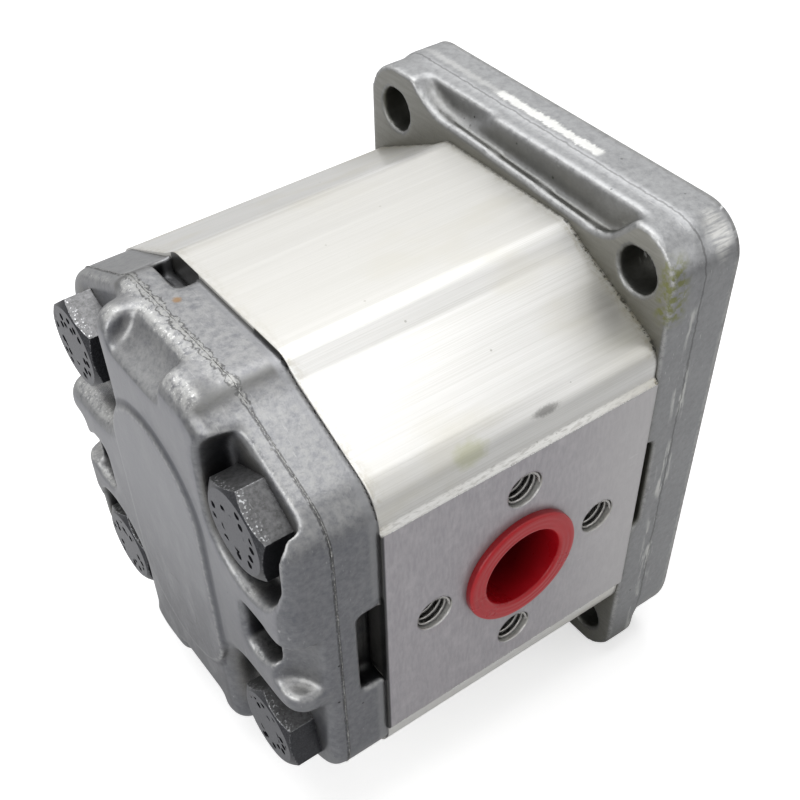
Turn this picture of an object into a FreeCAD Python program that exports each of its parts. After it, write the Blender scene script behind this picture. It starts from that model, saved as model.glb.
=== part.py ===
import FreeCAD, Part
import math
import os
import re
import Sketcher
from FreeCAD import Vector

# Group-2 external gear pump with a four-bolt mounting flange.
# Frame: origin where the drive shaft's axis meets the mounting face, +X out of that face
# along the shaft, +Z up through both gear axes, -Y out of the inlet port.

DIMENSIONS = {
    # overall stack, from the mounting face back to the rear cover
    "flange_thick": 15.5,
    "body_long": 62.0,
    "gear_centres": 31.0,
    # extruded body
    "body_width": 90.0,
    "body_height": 98.0,
    "top_flat": 36.0,
    "crown_slope_run": 4.5,
    "crown_drop": 2.9,
    "side_drop": 13.3,
    "crown_edge_fillet": 5.0,
    "crown_foot_fillet": 7.0,
    "side_corner_fillet": 6.5,
    "port_pad_edge": 20.6,
    "port_pad_high": 1.1,
    "gear_bore": 36.4,
    # front flange
    "flange_height": 115.0,
    "flange_draft_step": 0.4,
    "flange_lip_thick": 8.0,
    "flange_corner_fillet": 9.0,
    "flange_foot_fillet": 19.0,
    "mount_hole_edge_y": 9.25,
    "mount_hole_edge_z": 9.5,
    "mount_hole_dia": 9.0,
    "scoop_wall": 12.4,
    "scoop_rim_round": 1.5,
    "scoop_left_foot": 24.0,
    "scoop_left_drop": 4.6,
    "scoop_left_fillet": 10.0,
    "scoop_right_foot": 27.0,
    "scoop_right_drop": 7.1,
    "scoop_right_fillet": 9.0,
    "scoop_end_slope": 0.9,
    "scoop_hollow": 1.8,
    "scoop_hollow_draft": 45.0,
    "small_scoop_y": 19.0,
    "small_scoop_radius": 15.0,
    "small_scoop_drop": 5.3,
    "small_scoop_wall": 11.4,
    "side_slot_high": 24.0,
    "side_slot_deep": 4.0,
    "side_slot_long": 2.6,
    "pilot_dia": 36.5,
    "pilot_long": 9.5,
    "seal_bore_dia": 30.0,
    "seal_bore_deep": 8.5,
    "shaft_passage_dia": 19.4,
    # ports
    "inlet_bore_dia": 20.0,
    "inlet_screw_circle": 40.0,
    "inlet_thread_dia": 8.0,
    "inlet_thread_deep": 15.0,
    "outlet_bore_dia": 15.0,
    "outlet_screw_circle": 35.0,
    "outlet_thread_dia": 6.0,
    "outlet_thread_deep": 13.0,
    # rear cover
    "cover_inset": 1.0,
    "cover_side_drop": 12.8,
    "cover_corner_fillet": 10.0,
    "cover_seat_thick": 12.5,
    "cover_parting": 9.3,
    "cover_parting_step": 0.35,
    "cover_full_thick": 19.2,
    "cover_shoulder_fillet": 2.5,
    "cover_crown_fillet": 4.5,
    "cover_crown_left": 17.0,
    "cover_crown_foot": 13.5,
    "cover_crown_side": 15.5,
    "bolt_bay_fillet": 12.0,
    "cover_pad_radius": 16.2,
    "cover_pad_high": 0.8,
    "edge_scoop_long": 6.4,
    "edge_scoop_rise": 1.5,
    "edge_scoop_fillet": 9.0,
    "crown_scoop_wide": 17.6,
    "crown_scoop_deep": 6.8,
    "crown_scoop_y": 0.8,
    "side_scoop_wide": 14.0,
    "side_scoop_deep": 7.6,
    "side_scoop_z": 1.5,
    "core_pocket_edge": 8.0,
    "core_pocket_wide": 9.5,
    "core_pocket_top": 9.5,
    "core_pocket_foot": 3.5,
    "core_pocket_deep": 11.0,
    "pry_top_y": 14.6,
    "pry_top_wide": 10.4,
    "pry_long": 4.4,
    "pry_deep": 5.5,
    "pry_side_long": 5.0,
    "pry_side_high": 22.0,
    "pry_side_drop": 1.0,
    # bolts and dowels
    "bolt_edge_y": 15.1,
    "bolt_edge_z": 20.0,
    "bolt_dia": 10.0,
    "bolt_hole_clearance": 0.5,
    "bolt_length": 86.0,
    "bolt_head_flats": 17.0,
    "bolt_head_high": 6.4,
    "bolt_end_gap": 0.5,
    "bolt_turn_1": 22.0,
    "bolt_turn_2": 35.0,
    "bolt_turn_3": 36.0,
    "bolt_turn_4": 20.0,
    "bolt_pocket_radius": 11.2,
    "bolt_pocket_draft": 8.0,
    "bolt_pocket_shift": 0.7,
    "bolt_pocket_above": 7.0,
    "bolt_pocket_below": 3.5,
    "dowel_dia": 6.0,
    "dowel_long": 14.0,
    "dowel_edge_y": 9.0,
    "dowel_z": 14.0,
    "dowel_end_gap": 0.3,
    # gears and shafts
    "gear_teeth": 12.0,
    "pressure_angle": 25.0,
    "gear_tip_radius": 18.08,
    "gear_root_radius": 12.27,
    "tooth_thinning": 0.12,
    "gear_wide": 22.7,
    "gear_side_clearance": 0.05,
    "journal_dia": 17.94,
    "journal_clearance": 0.03,
    "journal_end_gap": 0.8,
    "taper_start": 11.0,
    "taper_big_dia": 17.0,
    "taper_long": 18.0,
    "taper_ratio": 8.0,
    "thread_dia": 12.0,
    "thread_core_dia": 10.4,
    "shaft_reach": 40.5,
    "shaft_chamfer": 0.8,
    "key_wide": 4.0,
    "key_dia": 13.0,
    "key_high": 5.0,
    "key_proud": 1.6,
    "nut_flats": 19.0,
    "nut_high": 7.0,
    "washer_dia": 24.0,
    "washer_thick": 2.5,
    "washer_clearance": 0.15,
    # bearing blocks and their seals
    "block_clearance": 0.05,
    "bush_wall": 1.5,
    "relief_gap": 2.0,
    "relief_wide": 6.0,
    "relief_high": 4.0,
    "relief_deep": 2.0,
    "pressure_seal_radius": 14.6,
    "pressure_seal_wide": 1.8,
    "backup_ring_wide": 1.0,
    "pressure_groove_deep": 2.2,
    "body_seal_offset": 4.2,
    "body_seal_dia": 2.0,
    "body_seal_groove_wide": 2.6,
    # shaft seal
    "seal_wide": 6.0,
    "seal_case_wall": 0.8,
    "seal_lip_clearance": 0.03,
    "seal_lip_thick": 1.2,
    "seal_lip_start": 1.0,
    "seal_lip_high": 1.7,
    "seal_case_lap": 3.8,
    "seal_spring_dia": 1.2,
    "retaining_ring_thick": 1.2,
    "retaining_ring_radial": 2.6,
    "retaining_groove_deep": 0.8,
    "retaining_ring_gap": 8.0,
    # push-in port plugs
    "plug_rim_overhang": 2.8,
    "plug_rim_thick": 1.6,
    "plug_wall": 1.0,
    "plug_floor": 1.4,
    "plug_long": 13.0,
    "plug_taper": 0.8,
    "plug_clearance": 0.06,
}

doc = FreeCAD.newDocument("gear_pump")
sheet = doc.addObject("Spreadsheet::Sheet", "dims")
for row, (alias, value) in enumerate(DIMENSIONS.items(), start=1):
    sheet.set(f"A{row}", alias)
    sheet.set(f"B{row}", str(value))
    sheet.setAlias(f"B{row}", alias)
doc.recompute()

pieces = []


def formula(text):
    """Point every dimension named in text at its cell in the sheet."""
    return re.sub(r"[a-z_][a-z_0-9]*", lambda word: "dims." + word[0] if word[0] in DIMENSIONS else word[0], text)


def size(text):
    return float(sheet.evalExpression(formula(text)))


def bind(thing, target, text):
    thing.setExpression(target, formula(text))


def new_body(label, x="0", y="0", z="0", turn=None):
    """One piece with its own frame, placed by x, y and z and turned about an axis by degrees."""
    body = doc.addObject("PartDesign::Body", label)
    body.Label = label
    if turn:
        body.Placement = FreeCAD.Placement(Vector(), FreeCAD.Rotation(*turn))
    for target, text in zip("xyz", (x, y, z)):
        bind(body, f".Placement.Base.{target}", text)
    pieces.append(body)
    return body


def new_shape(label, shape, x="0", y="0", z="0"):
    """A piece whose form is computed here, in a frame of its own that is then placed."""
    piece = doc.addObject("Part::Feature", label)
    piece.Label = label
    piece.Shape = shape
    piece.Placement = FreeCAD.Placement(Vector(size(x), size(y), size(z)), FreeCAD.Rotation())
    pieces.append(piece)
    return piece


def sketch_on(body, plane, name, offset="0"):
    sketch = body.newObject("Sketcher::SketchObject", f"{body.Label}_{name}")
    support = [one for one in body.Origin.OriginFeatures if one.Role == plane + "_Plane"][0]
    sketch.AttachmentSupport = (support, [""])
    sketch.MapMode = "FlatFace"
    bind(sketch, "AttachmentOffset.Base.z", offset)
    return sketch


def dimension(sketch, kind, ends, text):
    index = sketch.addConstraint(Sketcher.Constraint(kind, *ends, size(text)))
    bind(sketch, f"Constraints[{index}]", text)


def place_point(sketch, geometry, position, x, y):
    dimension(sketch, "DistanceX", (-1, 1, geometry, position), x)
    dimension(sketch, "DistanceY", (-1, 1, geometry, position), y)


def add_circle(sketch, x, y, radius):
    centre = Vector(size(x), size(y), 0)
    circle = sketch.addGeometry(Part.Circle(centre, Vector(0, 0, 1), size(radius)), False)
    dimension(sketch, "Radius", (circle,), radius)
    place_point(sketch, circle, 3, x, y)


def tangent_point(near, corner, far, fillet):
    """Where a corner's fillet meets its edge towards near, as a formula for each coordinate."""
    to_near = [f"(({n}) - ({c}))" for n, c in zip(near, corner)]
    to_far = [f"(({f}) - ({c}))" for f, c in zip(far, corner)]
    near_run = f"sqrt({to_near[0]}^2 + {to_near[1]}^2)"
    far_run = f"sqrt({to_far[0]}^2 + {to_far[1]}^2)"
    turn = f"acos(({to_near[0]} * {to_far[0]} + {to_near[1]} * {to_far[1]}) / ({near_run} * {far_run}))"
    run = f"({fillet}) / tan({turn} / 2)"
    return [f"({c}) + {run} * {step} / {near_run}" for c, step in zip(corner, to_near)]


def add_outline(sketch, corners):
    """Closed outline through corners (x, y, fillet); fillet None leaves the corner sharp."""
    count = len(corners)
    arrive, leave = [], []
    for i, (x, y, fillet) in enumerate(corners):
        before, after = corners[i - 1][:2], corners[(i + 1) % count][:2]
        sharp = fillet is None
        arrive.append((x, y) if sharp else tangent_point(before, (x, y), after, fillet))
        leave.append((x, y) if sharp else tangent_point(after, (x, y), before, fillet))
    starts = [Vector(size(x), size(y), 0) for x, y in leave]
    ends = [Vector(size(x), size(y), 0) for x, y in arrive]
    lines = [
        sketch.addGeometry(Part.LineSegment(starts[i], ends[(i + 1) % count]), False)
        for i in range(count)
    ]
    for i, (x, y, fillet) in enumerate(corners):
        before, after = lines[i - 1], lines[i]
        if fillet is None:
            sketch.addConstraint(Sketcher.Constraint("Coincident", before, 2, after, 1))
            place_point(sketch, after, 1, x, y)
            continue
        point = Vector(size(x), size(y), 0)
        chord = (starts[i] + ends[i]) / 2
        half_chord = starts[i].distanceToPoint(chord)
        drop = size(fillet) - math.sqrt(size(fillet) ** 2 - half_chord ** 2)
        middle = chord + (point - chord).normalize() * drop
        left_turn = (point - ends[i]).cross(starts[i] - point).z > 0
        sweep = (ends[i], middle, starts[i]) if left_turn else (starts[i], middle, ends[i])
        arc = sketch.addGeometry(Part.Arc(*sweep), False)
        first, last = (1, 2) if left_turn else (2, 1)
        sketch.addConstraint([
            Sketcher.Constraint("Coincident", before, 2, arc, first),
            Sketcher.Constraint("Coincident", arc, last, after, 1),
        ])
        place_point(sketch, before, 2, *arrive[i])
        place_point(sketch, after, 1, *leave[i])
        dimension(sketch, "Radius", (arc,), fillet)
    sketch.solve()


def pad(body, sketch, length, back=False, name="pad"):
    feature = body.newObject("PartDesign::Pad", f"{body.Label}_{name}")
    feature.Profile = sketch
    bind(feature, "Length", length)
    feature.Reversed = back
    return finished(feature)


def finished(feature):
    """Work the feature out, and stop with its name if it came to nothing."""
    doc.recompute()
    if "Invalid" in feature.State or feature.Shape.isNull():
        raise RuntimeError(f"{feature.Label}: {feature.getStatusString()}")
    return feature


def pocket(body, sketch, length, back=False, midplane=False, name="pocket", draft=None):
    """Cut a sketch into the body, narrowing by draft degrees, and make sure that it took something away."""
    doc.recompute()
    before = body.Tip.Shape.Volume
    feature = body.newObject("PartDesign::Pocket", f"{body.Label}_{name}")
    feature.Profile = sketch
    bind(feature, "Length", length)
    feature.Reversed = back
    feature.Midplane = midplane
    if draft:
        bind(feature, "TaperAngle", f"-{draft}")
    finished(feature)
    if feature.Shape.Volume > before - 0.01:
        raise RuntimeError(f"{feature.Label} cuts nothing")
    return feature


def round_edges(body, radius, chosen, name="fillet"):
    """Round every edge of the body for which chosen(edge) holds."""
    base = body.Tip
    names = [f"Edge{n}" for n, edge in enumerate(base.Shape.Edges, start=1) if chosen(edge)]
    feature = body.newObject("PartDesign::Fillet", f"{body.Label}_{name}")
    feature.Base = (base, names)
    bind(feature, "Radius", radius)
    return finished(feature)


def lies_at_x(edge, x):
    return all(abs(vertex.X - x) < 1e-4 for vertex in edge.Vertexes)


def lies_at_height(edge, z):
    return all(abs(abs(vertex.Z) - z) < 1e-4 for vertex in edge.Vertexes)


def turned_pair(body, features, name="pair"):
    """Repeat features half a turn round the body's X axis, as the rear cover's casting does."""
    pattern = body.newObject("PartDesign::PolarPattern", f"{body.Label}_{name}")
    pattern.Originals = features
    axis = [one for one in body.Origin.OriginFeatures if one.Role == "X_Axis"][0]
    pattern.Axis = (axis, [""])
    pattern.Angle = 360
    pattern.Occurrences = 2
    body.Tip = pattern
    return finished(pattern)


MIDDLE_Z = "-gear_centres / 2"
BODY_FRONT = "-flange_thick"
COVER_FRONT = "-flange_thick - body_long"
PORT_X = "-flange_thick - body_long / 2"
GEAR_AXES = ["gear_centres / 2", "-gear_centres / 2"]
HALF_WIDTH = "body_width / 2"
HALF_HEIGHT = "body_height / 2"


def four_ways(quarter):
    """A closed outline from its corners in one quarter, crown to side."""
    upper = [(f"-({y})", z, fillet) for y, z, fillet in reversed(quarter)] + quarter
    lower = [(f"-({y})", f"-({z})", fillet) for y, z, fillet in upper]
    return upper + lower


def crown(inset):
    """The flat crown and the shallow hollow beside it, which body and cover share."""
    return [
        ("top_flat / 2", f"{HALF_HEIGHT} - {inset}", "crown_edge_fillet"),
        ("top_flat / 2 + crown_slope_run", f"{HALF_HEIGHT} - crown_drop - {inset}", "crown_foot_fillet"),
    ]


def body_profile():
    """The extrusion's outline, each port face standing a little proud of its side."""
    side = f"{HALF_WIDTH} - port_pad_high"
    pad_end = f"{HALF_HEIGHT} - port_pad_edge"
    return four_ways(crown("0") + [
        (side, f"{HALF_HEIGHT} - side_drop", "side_corner_fillet"),
        (side, f"{pad_end} + port_pad_high", None),
        (HALF_WIDTH, pad_end, None),
    ])


def cover_profile(inset):
    """The cover's outline at its joint with the body."""
    corner = (f"{HALF_WIDTH} - {inset}", f"{HALF_HEIGHT} - cover_side_drop - {inset}", "cover_corner_fillet")
    return four_ways(crown(inset) + [corner])


def bolt_places():
    for side in ("", "-"):
        for level in ("", "-"):
            yield f"{side}({HALF_WIDTH} - bolt_edge_y)", f"{level}({HALF_HEIGHT} - bolt_edge_z)"


def dowel_places():
    yield f"{HALF_WIDTH} - dowel_edge_y", "dowel_z"
    yield f"-({HALF_WIDTH} - dowel_edge_y)", "-dowel_z"


def make_dowel_holes(body, back):
    holes = sketch_on(body, "YZ", "dowel_holes" + ("_rear" if back else ""))
    if back:
        bind(holes, "AttachmentOffset.Base.z", "-body_long")
    for y, z in dowel_places():
        add_circle(holes, y, z, "dowel_dia / 2")
    return holes


def racetrack_ring(radius, wire_radius):
    """A round cord laid in a racetrack about both gear axes."""
    half = size("gear_centres / 2")
    bends = [
        Part.makeTorus(radius, wire_radius, Vector(0, 0, half), Vector(1, 0, 0), 0, 360, 360),
        Part.makeTorus(radius, wire_radius, Vector(0, 0, -half), Vector(1, 0, 0), 0, 360, 360),
    ]
    reach = radius + 2 * wire_radius
    block = Part.makeBox(4 * wire_radius, 2 * reach, 2 * half, Vector(-2 * wire_radius, -reach, -half))
    ring = bends[0].cut(block).fuse(bends[1].cut(block))
    for side in (-radius, radius):
        run = Part.makeCylinder(wire_radius, 2 * half, Vector(0, side, -half), Vector(0, 0, 1))
        ring = ring.fuse(run)
    return ring.removeSplitter()


def racetrack_groove(body, name, back=False):
    """Groove for a body seal, cut into the piece's joint face."""
    middle = "gear_bore / 2 + body_seal_offset"
    sketch = sketch_on(body, "YZ", name)
    for grown in ("+ body_seal_groove_wide / 2", "- body_seal_groove_wide / 2"):
        add_slot(sketch, f"{middle} {grown}", "gear_centres / 2")
    if not back:
        bind(sketch, "AttachmentOffset.Base.z", "-flange_thick")
    return pocket(body, sketch, "body_seal_dia", back=not back, name=name + "_cut")


def add_slot(sketch, radius, half_long, y="0", middle="0"):
    """Upright slot: two half circles of one radius, half_long above and below its middle."""
    r, half = size(radius), size(half_long)
    y0, z0 = size(y), size(middle)
    top = Part.ArcOfCircle(Part.Circle(Vector(y0, z0 + half, 0), Vector(0, 0, 1), r), 0, math.pi)
    foot = Part.ArcOfCircle(Part.Circle(Vector(y0, z0 - half, 0), Vector(0, 0, 1), r), math.pi, 2 * math.pi)
    upper = sketch.addGeometry(top, False)
    lower = sketch.addGeometry(foot, False)
    left = sketch.addGeometry(Part.LineSegment(Vector(y0 - r, z0 + half, 0), Vector(y0 - r, z0 - half, 0)), False)
    right = sketch.addGeometry(Part.LineSegment(Vector(y0 + r, z0 - half, 0), Vector(y0 + r, z0 + half, 0)), False)
    sketch.addConstraint([
        Sketcher.Constraint("Tangent", upper, 2, left, 1),
        Sketcher.Constraint("Tangent", left, 2, lower, 1),
        Sketcher.Constraint("Tangent", lower, 2, right, 1),
        Sketcher.Constraint("Tangent", right, 2, upper, 1),
    ])
    dimension(sketch, "Radius", (upper,), radius)
    place_point(sketch, upper, 3, y, f"{middle} + {half_long}")
    dimension(sketch, "DistanceY", (-1, 1, lower, 3), f"{middle} - ({half_long})")
    sketch.solve()


def make_pump_body():
    """Extruded aluminium body with the gear bores, ports and through holes for the bolts."""
    body = new_body("pump_body", x=BODY_FRONT, z=MIDDLE_Z)
    profile = sketch_on(body, "YZ", "profile")
    add_outline(profile, body_profile())
    pad(body, profile, "body_long", back=True, name="extrusion")

    bores = sketch_on(body, "YZ", "gear_bores")
    reach = "sqrt(gear_bore * gear_bore / 4 - gear_centres * gear_centres / 4)"
    add_eight(bores, "gear_bore / 2", "gear_centres / 2", reach)
    pocket(body, bores, "body_long", name="gear_bores_cut")

    bolts = sketch_on(body, "YZ", "bolt_holes")
    for y, z in bolt_places():
        add_circle(bolts, y, z, "bolt_dia / 2 + bolt_hole_clearance")
    pocket(body, bolts, "body_long", name="bolt_holes_cut")

    pocket(body, make_dowel_holes(body, False), "dowel_long / 2 + dowel_end_gap", name="dowels_front")
    pocket(body, make_dowel_holes(body, True), "dowel_long / 2 + dowel_end_gap", back=True, name="dowels_rear")

    for port, side in (("inlet", "body_width / 2"), ("outlet", "-body_width / 2")):
        outlet = port == "outlet"
        bore = sketch_on(body, "XZ", port + "_bore", side)
        add_circle(bore, "-body_long / 2", "0", port + "_bore_dia / 2")
        pocket(body, bore, "body_width / 2", back=outlet, name=port + "_bore_cut")
        screws = sketch_on(body, "XZ", port + "_screws", side)
        ring = port + "_screw_circle / 2"
        for x, z in ((ring, "0"), ("-" + ring, "0"), ("0", ring), ("0", "-" + ring)):
            add_circle(screws, f"-body_long / 2 + {x}", z, port + "_thread_dia / 2")
        pocket(body, screws, port + "_thread_deep", back=outlet, name=port + "_screws_cut")


def add_eight(sketch, radius, half_gap, reach):
    """Figure of eight: two big arcs that meet at the cusps (+-reach, 0)."""
    r, half, cusp = size(radius), size(half_gap), size(reach)
    arcs = []
    for side in (1, -1):
        start = Vector(side * cusp, 0, 0)
        crest = Vector(0, side * (half + r), 0)
        arcs.append(sketch.addGeometry(Part.Arc(start, crest, Vector(-side * cusp, 0, 0)), False))
    upper, lower = arcs
    sketch.addConstraint([
        Sketcher.Constraint("Coincident", upper, 2, lower, 1),
        Sketcher.Constraint("Coincident", upper, 1, lower, 2),
    ])
    dimension(sketch, "Radius", (upper,), radius)
    dimension(sketch, "Radius", (lower,), radius)
    place_point(sketch, upper, 3, "0", half_gap)
    dimension(sketch, "DistanceY", (-1, 1, lower, 3), f"-({half_gap})")
    sketch.solve()


def scoop_outline(grown):
    """The hollow behind the flange's upper edge, open at the top; grown sinks it all round."""
    left, right = f"(scoop_left_foot + {grown} / 2)", f"(scoop_right_foot + {grown} / 2)"
    left_floor = f"(flange_height / 2 - scoop_left_drop - {grown})"
    right_floor = f"(flange_height / 2 - scoop_right_drop - {grown})"
    above = "(flange_height / 2 + 3)"
    return [
        (left, left_floor, "scoop_left_fillet"),
        (f"{left} + scoop_end_slope * ({above} - {left_floor})", above, None),
        (f"-({right} + scoop_end_slope * ({above} - {right_floor}))", above, None),
        (f"-{right}", right_floor, "scoop_right_fillet"),
    ]


def make_front_flange():
    """Die-cast mounting flange: thick lip in front, four ears behind, pilot and seal bore."""
    body = new_body("front_flange", z=MIDDLE_Z)
    lip = sketch_on(body, "YZ", "lip")
    half_y, half_z = "body_width / 2", "flange_height / 2"
    add_outline(lip, [
        (f"-{half_y}", f"-{half_z}", "flange_foot_fillet"),
        (half_y, f"-{half_z}", "flange_foot_fillet"),
        (half_y, half_z, "flange_corner_fillet"),
        (f"-{half_y}", half_z, "flange_corner_fillet"),
    ])
    pad(body, lip, "flange_lip_thick", back=True, name="lip_pad")
    ears = sketch_on(body, "YZ", "ears", "-flange_lip_thick")
    inner_y = "(body_width / 2 - flange_draft_step)"
    inner_z = "(flange_height / 2 - flange_draft_step)"
    add_outline(ears, [
        (f"-{inner_y}", f"-{inner_z}", "flange_corner_fillet"),
        (inner_y, f"-{inner_z}", "flange_corner_fillet"),
        (inner_y, inner_z, "flange_corner_fillet"),
        (f"-{inner_y}", inner_z, "flange_corner_fillet"),
    ])
    pad(body, ears, "flange_thick - flange_lip_thick", back=True, name="ears_pad")

    trough = sketch_on(body, "YZ", "scoop", "-flange_thick")
    add_outline(trough, scoop_outline("0"))
    cut = pocket(body, trough, "flange_thick - scoop_wall", back=True, name="scoop_cut")
    turned_pair(body, [cut], "scoops")
    top = size("flange_height / 2 - flange_draft_step")
    rear = -size("flange_thick")
    lowest, widest = size("flange_height / 2 - scoop_right_drop"), size(HALF_WIDTH) - size("mount_hole_edge_y")

    def is_rim(edge):
        inside = all(abs(v.Z) > lowest - 0.1 and abs(v.Y) < widest for v in edge.Vertexes)
        return inside and lies_at_x(edge, rear) and not lies_at_height(edge, top)

    round_edges(body, "scoop_rim_round", is_rim, "scoop_rims")
    hollow = sketch_on(body, "YZ", "scoop_hollow", "-scoop_wall")
    add_outline(hollow, scoop_outline("scoop_hollow"))
    deep = pocket(body, hollow, "scoop_hollow * 1.1", name="scoop_hollow_cut", draft="scoop_hollow_draft")
    small = sketch_on(body, "YZ", "small_scoop", "-flange_thick")
    add_circle(small, "small_scoop_y", "flange_height / 2 - small_scoop_drop + small_scoop_radius", "small_scoop_radius")
    round_cut = pocket(body, small, "flange_thick - small_scoop_wall", back=True, name="small_scoop_cut")
    turned_pair(body, [deep, round_cut], "scoop_hollows")

    slot = sketch_on(body, "XZ", "side_slot", "body_width / 2")
    add_outline(slot, [
        ("-flange_thick - 1", "-side_slot_high / 2", None),
        ("-flange_thick + side_slot_long", "-side_slot_high / 2", None),
        ("-flange_thick + side_slot_long", "side_slot_high / 2", None),
        ("-flange_thick - 1", "side_slot_high / 2", None),
    ])
    notch = pocket(body, slot, "side_slot_deep", name="side_slot_cut")
    turned_pair(body, [notch], "side_slots")

    pilot = sketch_on(body, "YZ", "pilot")
    add_circle(pilot, "0", "gear_centres / 2", "pilot_dia / 2")
    pad(body, pilot, "pilot_long", name="pilot_pad")
    passage = sketch_on(body, "YZ", "passage", "pilot_long")
    add_circle(passage, "0", "gear_centres / 2", "shaft_passage_dia / 2")
    pocket(body, passage, "pilot_long + flange_thick", name="passage_cut")
    seat = sketch_on(body, "YZ", "seal_seat", "pilot_long")
    add_circle(seat, "0", "gear_centres / 2", "seal_bore_dia / 2")
    pocket(body, seat, "seal_bore_deep", name="seal_seat_cut")
    groove = sketch_on(body, "YZ", "ring_groove", "pilot_long - seal_bore_deep + seal_wide + retaining_ring_thick")
    add_circle(groove, "0", "gear_centres / 2", "seal_bore_dia / 2 + retaining_groove_deep")
    pocket(body, groove, "retaining_ring_thick", name="ring_groove_cut")

    holes = sketch_on(body, "YZ", "mount_holes")
    for side in ("", "-"):
        for level in ("", "-"):
            y = f"{side}({HALF_WIDTH} - mount_hole_edge_y)"
            z = f"{level}(flange_height / 2 - mount_hole_edge_z)"
            add_circle(holes, y, z, "mount_hole_dia / 2")
    pocket(body, holes, "flange_thick", name="mount_holes_cut")

    threads = sketch_on(body, "YZ", "bolt_threads", "-flange_thick")
    for y, z in bolt_places():
        add_circle(threads, y, z, "bolt_dia / 2")
    reach = "bolt_length - cover_seat_thick - body_long + bolt_end_gap"
    pocket(body, threads, reach, back=True, name="bolt_threads_cut")
    dowels = sketch_on(body, "YZ", "dowel_holes", "-flange_thick")
    for y, z in dowel_places():
        add_circle(dowels, y, z, "dowel_dia / 2")
    pocket(body, dowels, "dowel_long / 2 + dowel_end_gap", back=True, name="dowel_holes_cut")
    racetrack_groove(body, "seal_groove")


def cover_outline(left, foot, side):
    """The rear cover's raised crown: half of it, the other half being turned half round."""
    half = [
        (left, f"{HALF_HEIGHT} - cover_inset", "cover_crown_fillet + 0.5"),
        *[(f"-({y})", z, fillet) for y, z, fillet in crown("cover_inset")],
        (f"-{HALF_WIDTH} + cover_inset", f"{HALF_HEIGHT} - cover_side_drop - cover_inset", "cover_corner_fillet"),
        (f"-{HALF_WIDTH} + cover_inset", f"-({foot})", "cover_crown_fillet + 1.5"),
        (f"-({side})", f"-({foot})", "bolt_bay_fillet"),
    ]
    other = [(f"-({y})", f"-({z})", fillet) for y, z, fillet in half]
    return half + other


def edge_scoop_outline(edge, deep, side):
    """Hollow rising from the cover's rear face to its edge, which lies above or, with side "-", below."""
    lip = f"({edge} - cover_inset - {deep})"
    return [
        ("-cover_full_thick - edge_scoop_rise", f"{side}({lip} - edge_scoop_rise / 4)", None),
        ("-cover_full_thick + 0.8 * edge_scoop_long", f"{side}({lip} + edge_scoop_rise)", "edge_scoop_fillet"),
        ("-cover_full_thick + 1.1 * edge_scoop_long", f"{side}({edge} + 1)", None),
        ("-cover_full_thick - edge_scoop_rise", f"{side}({edge} + 1)", None),
    ]


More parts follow.
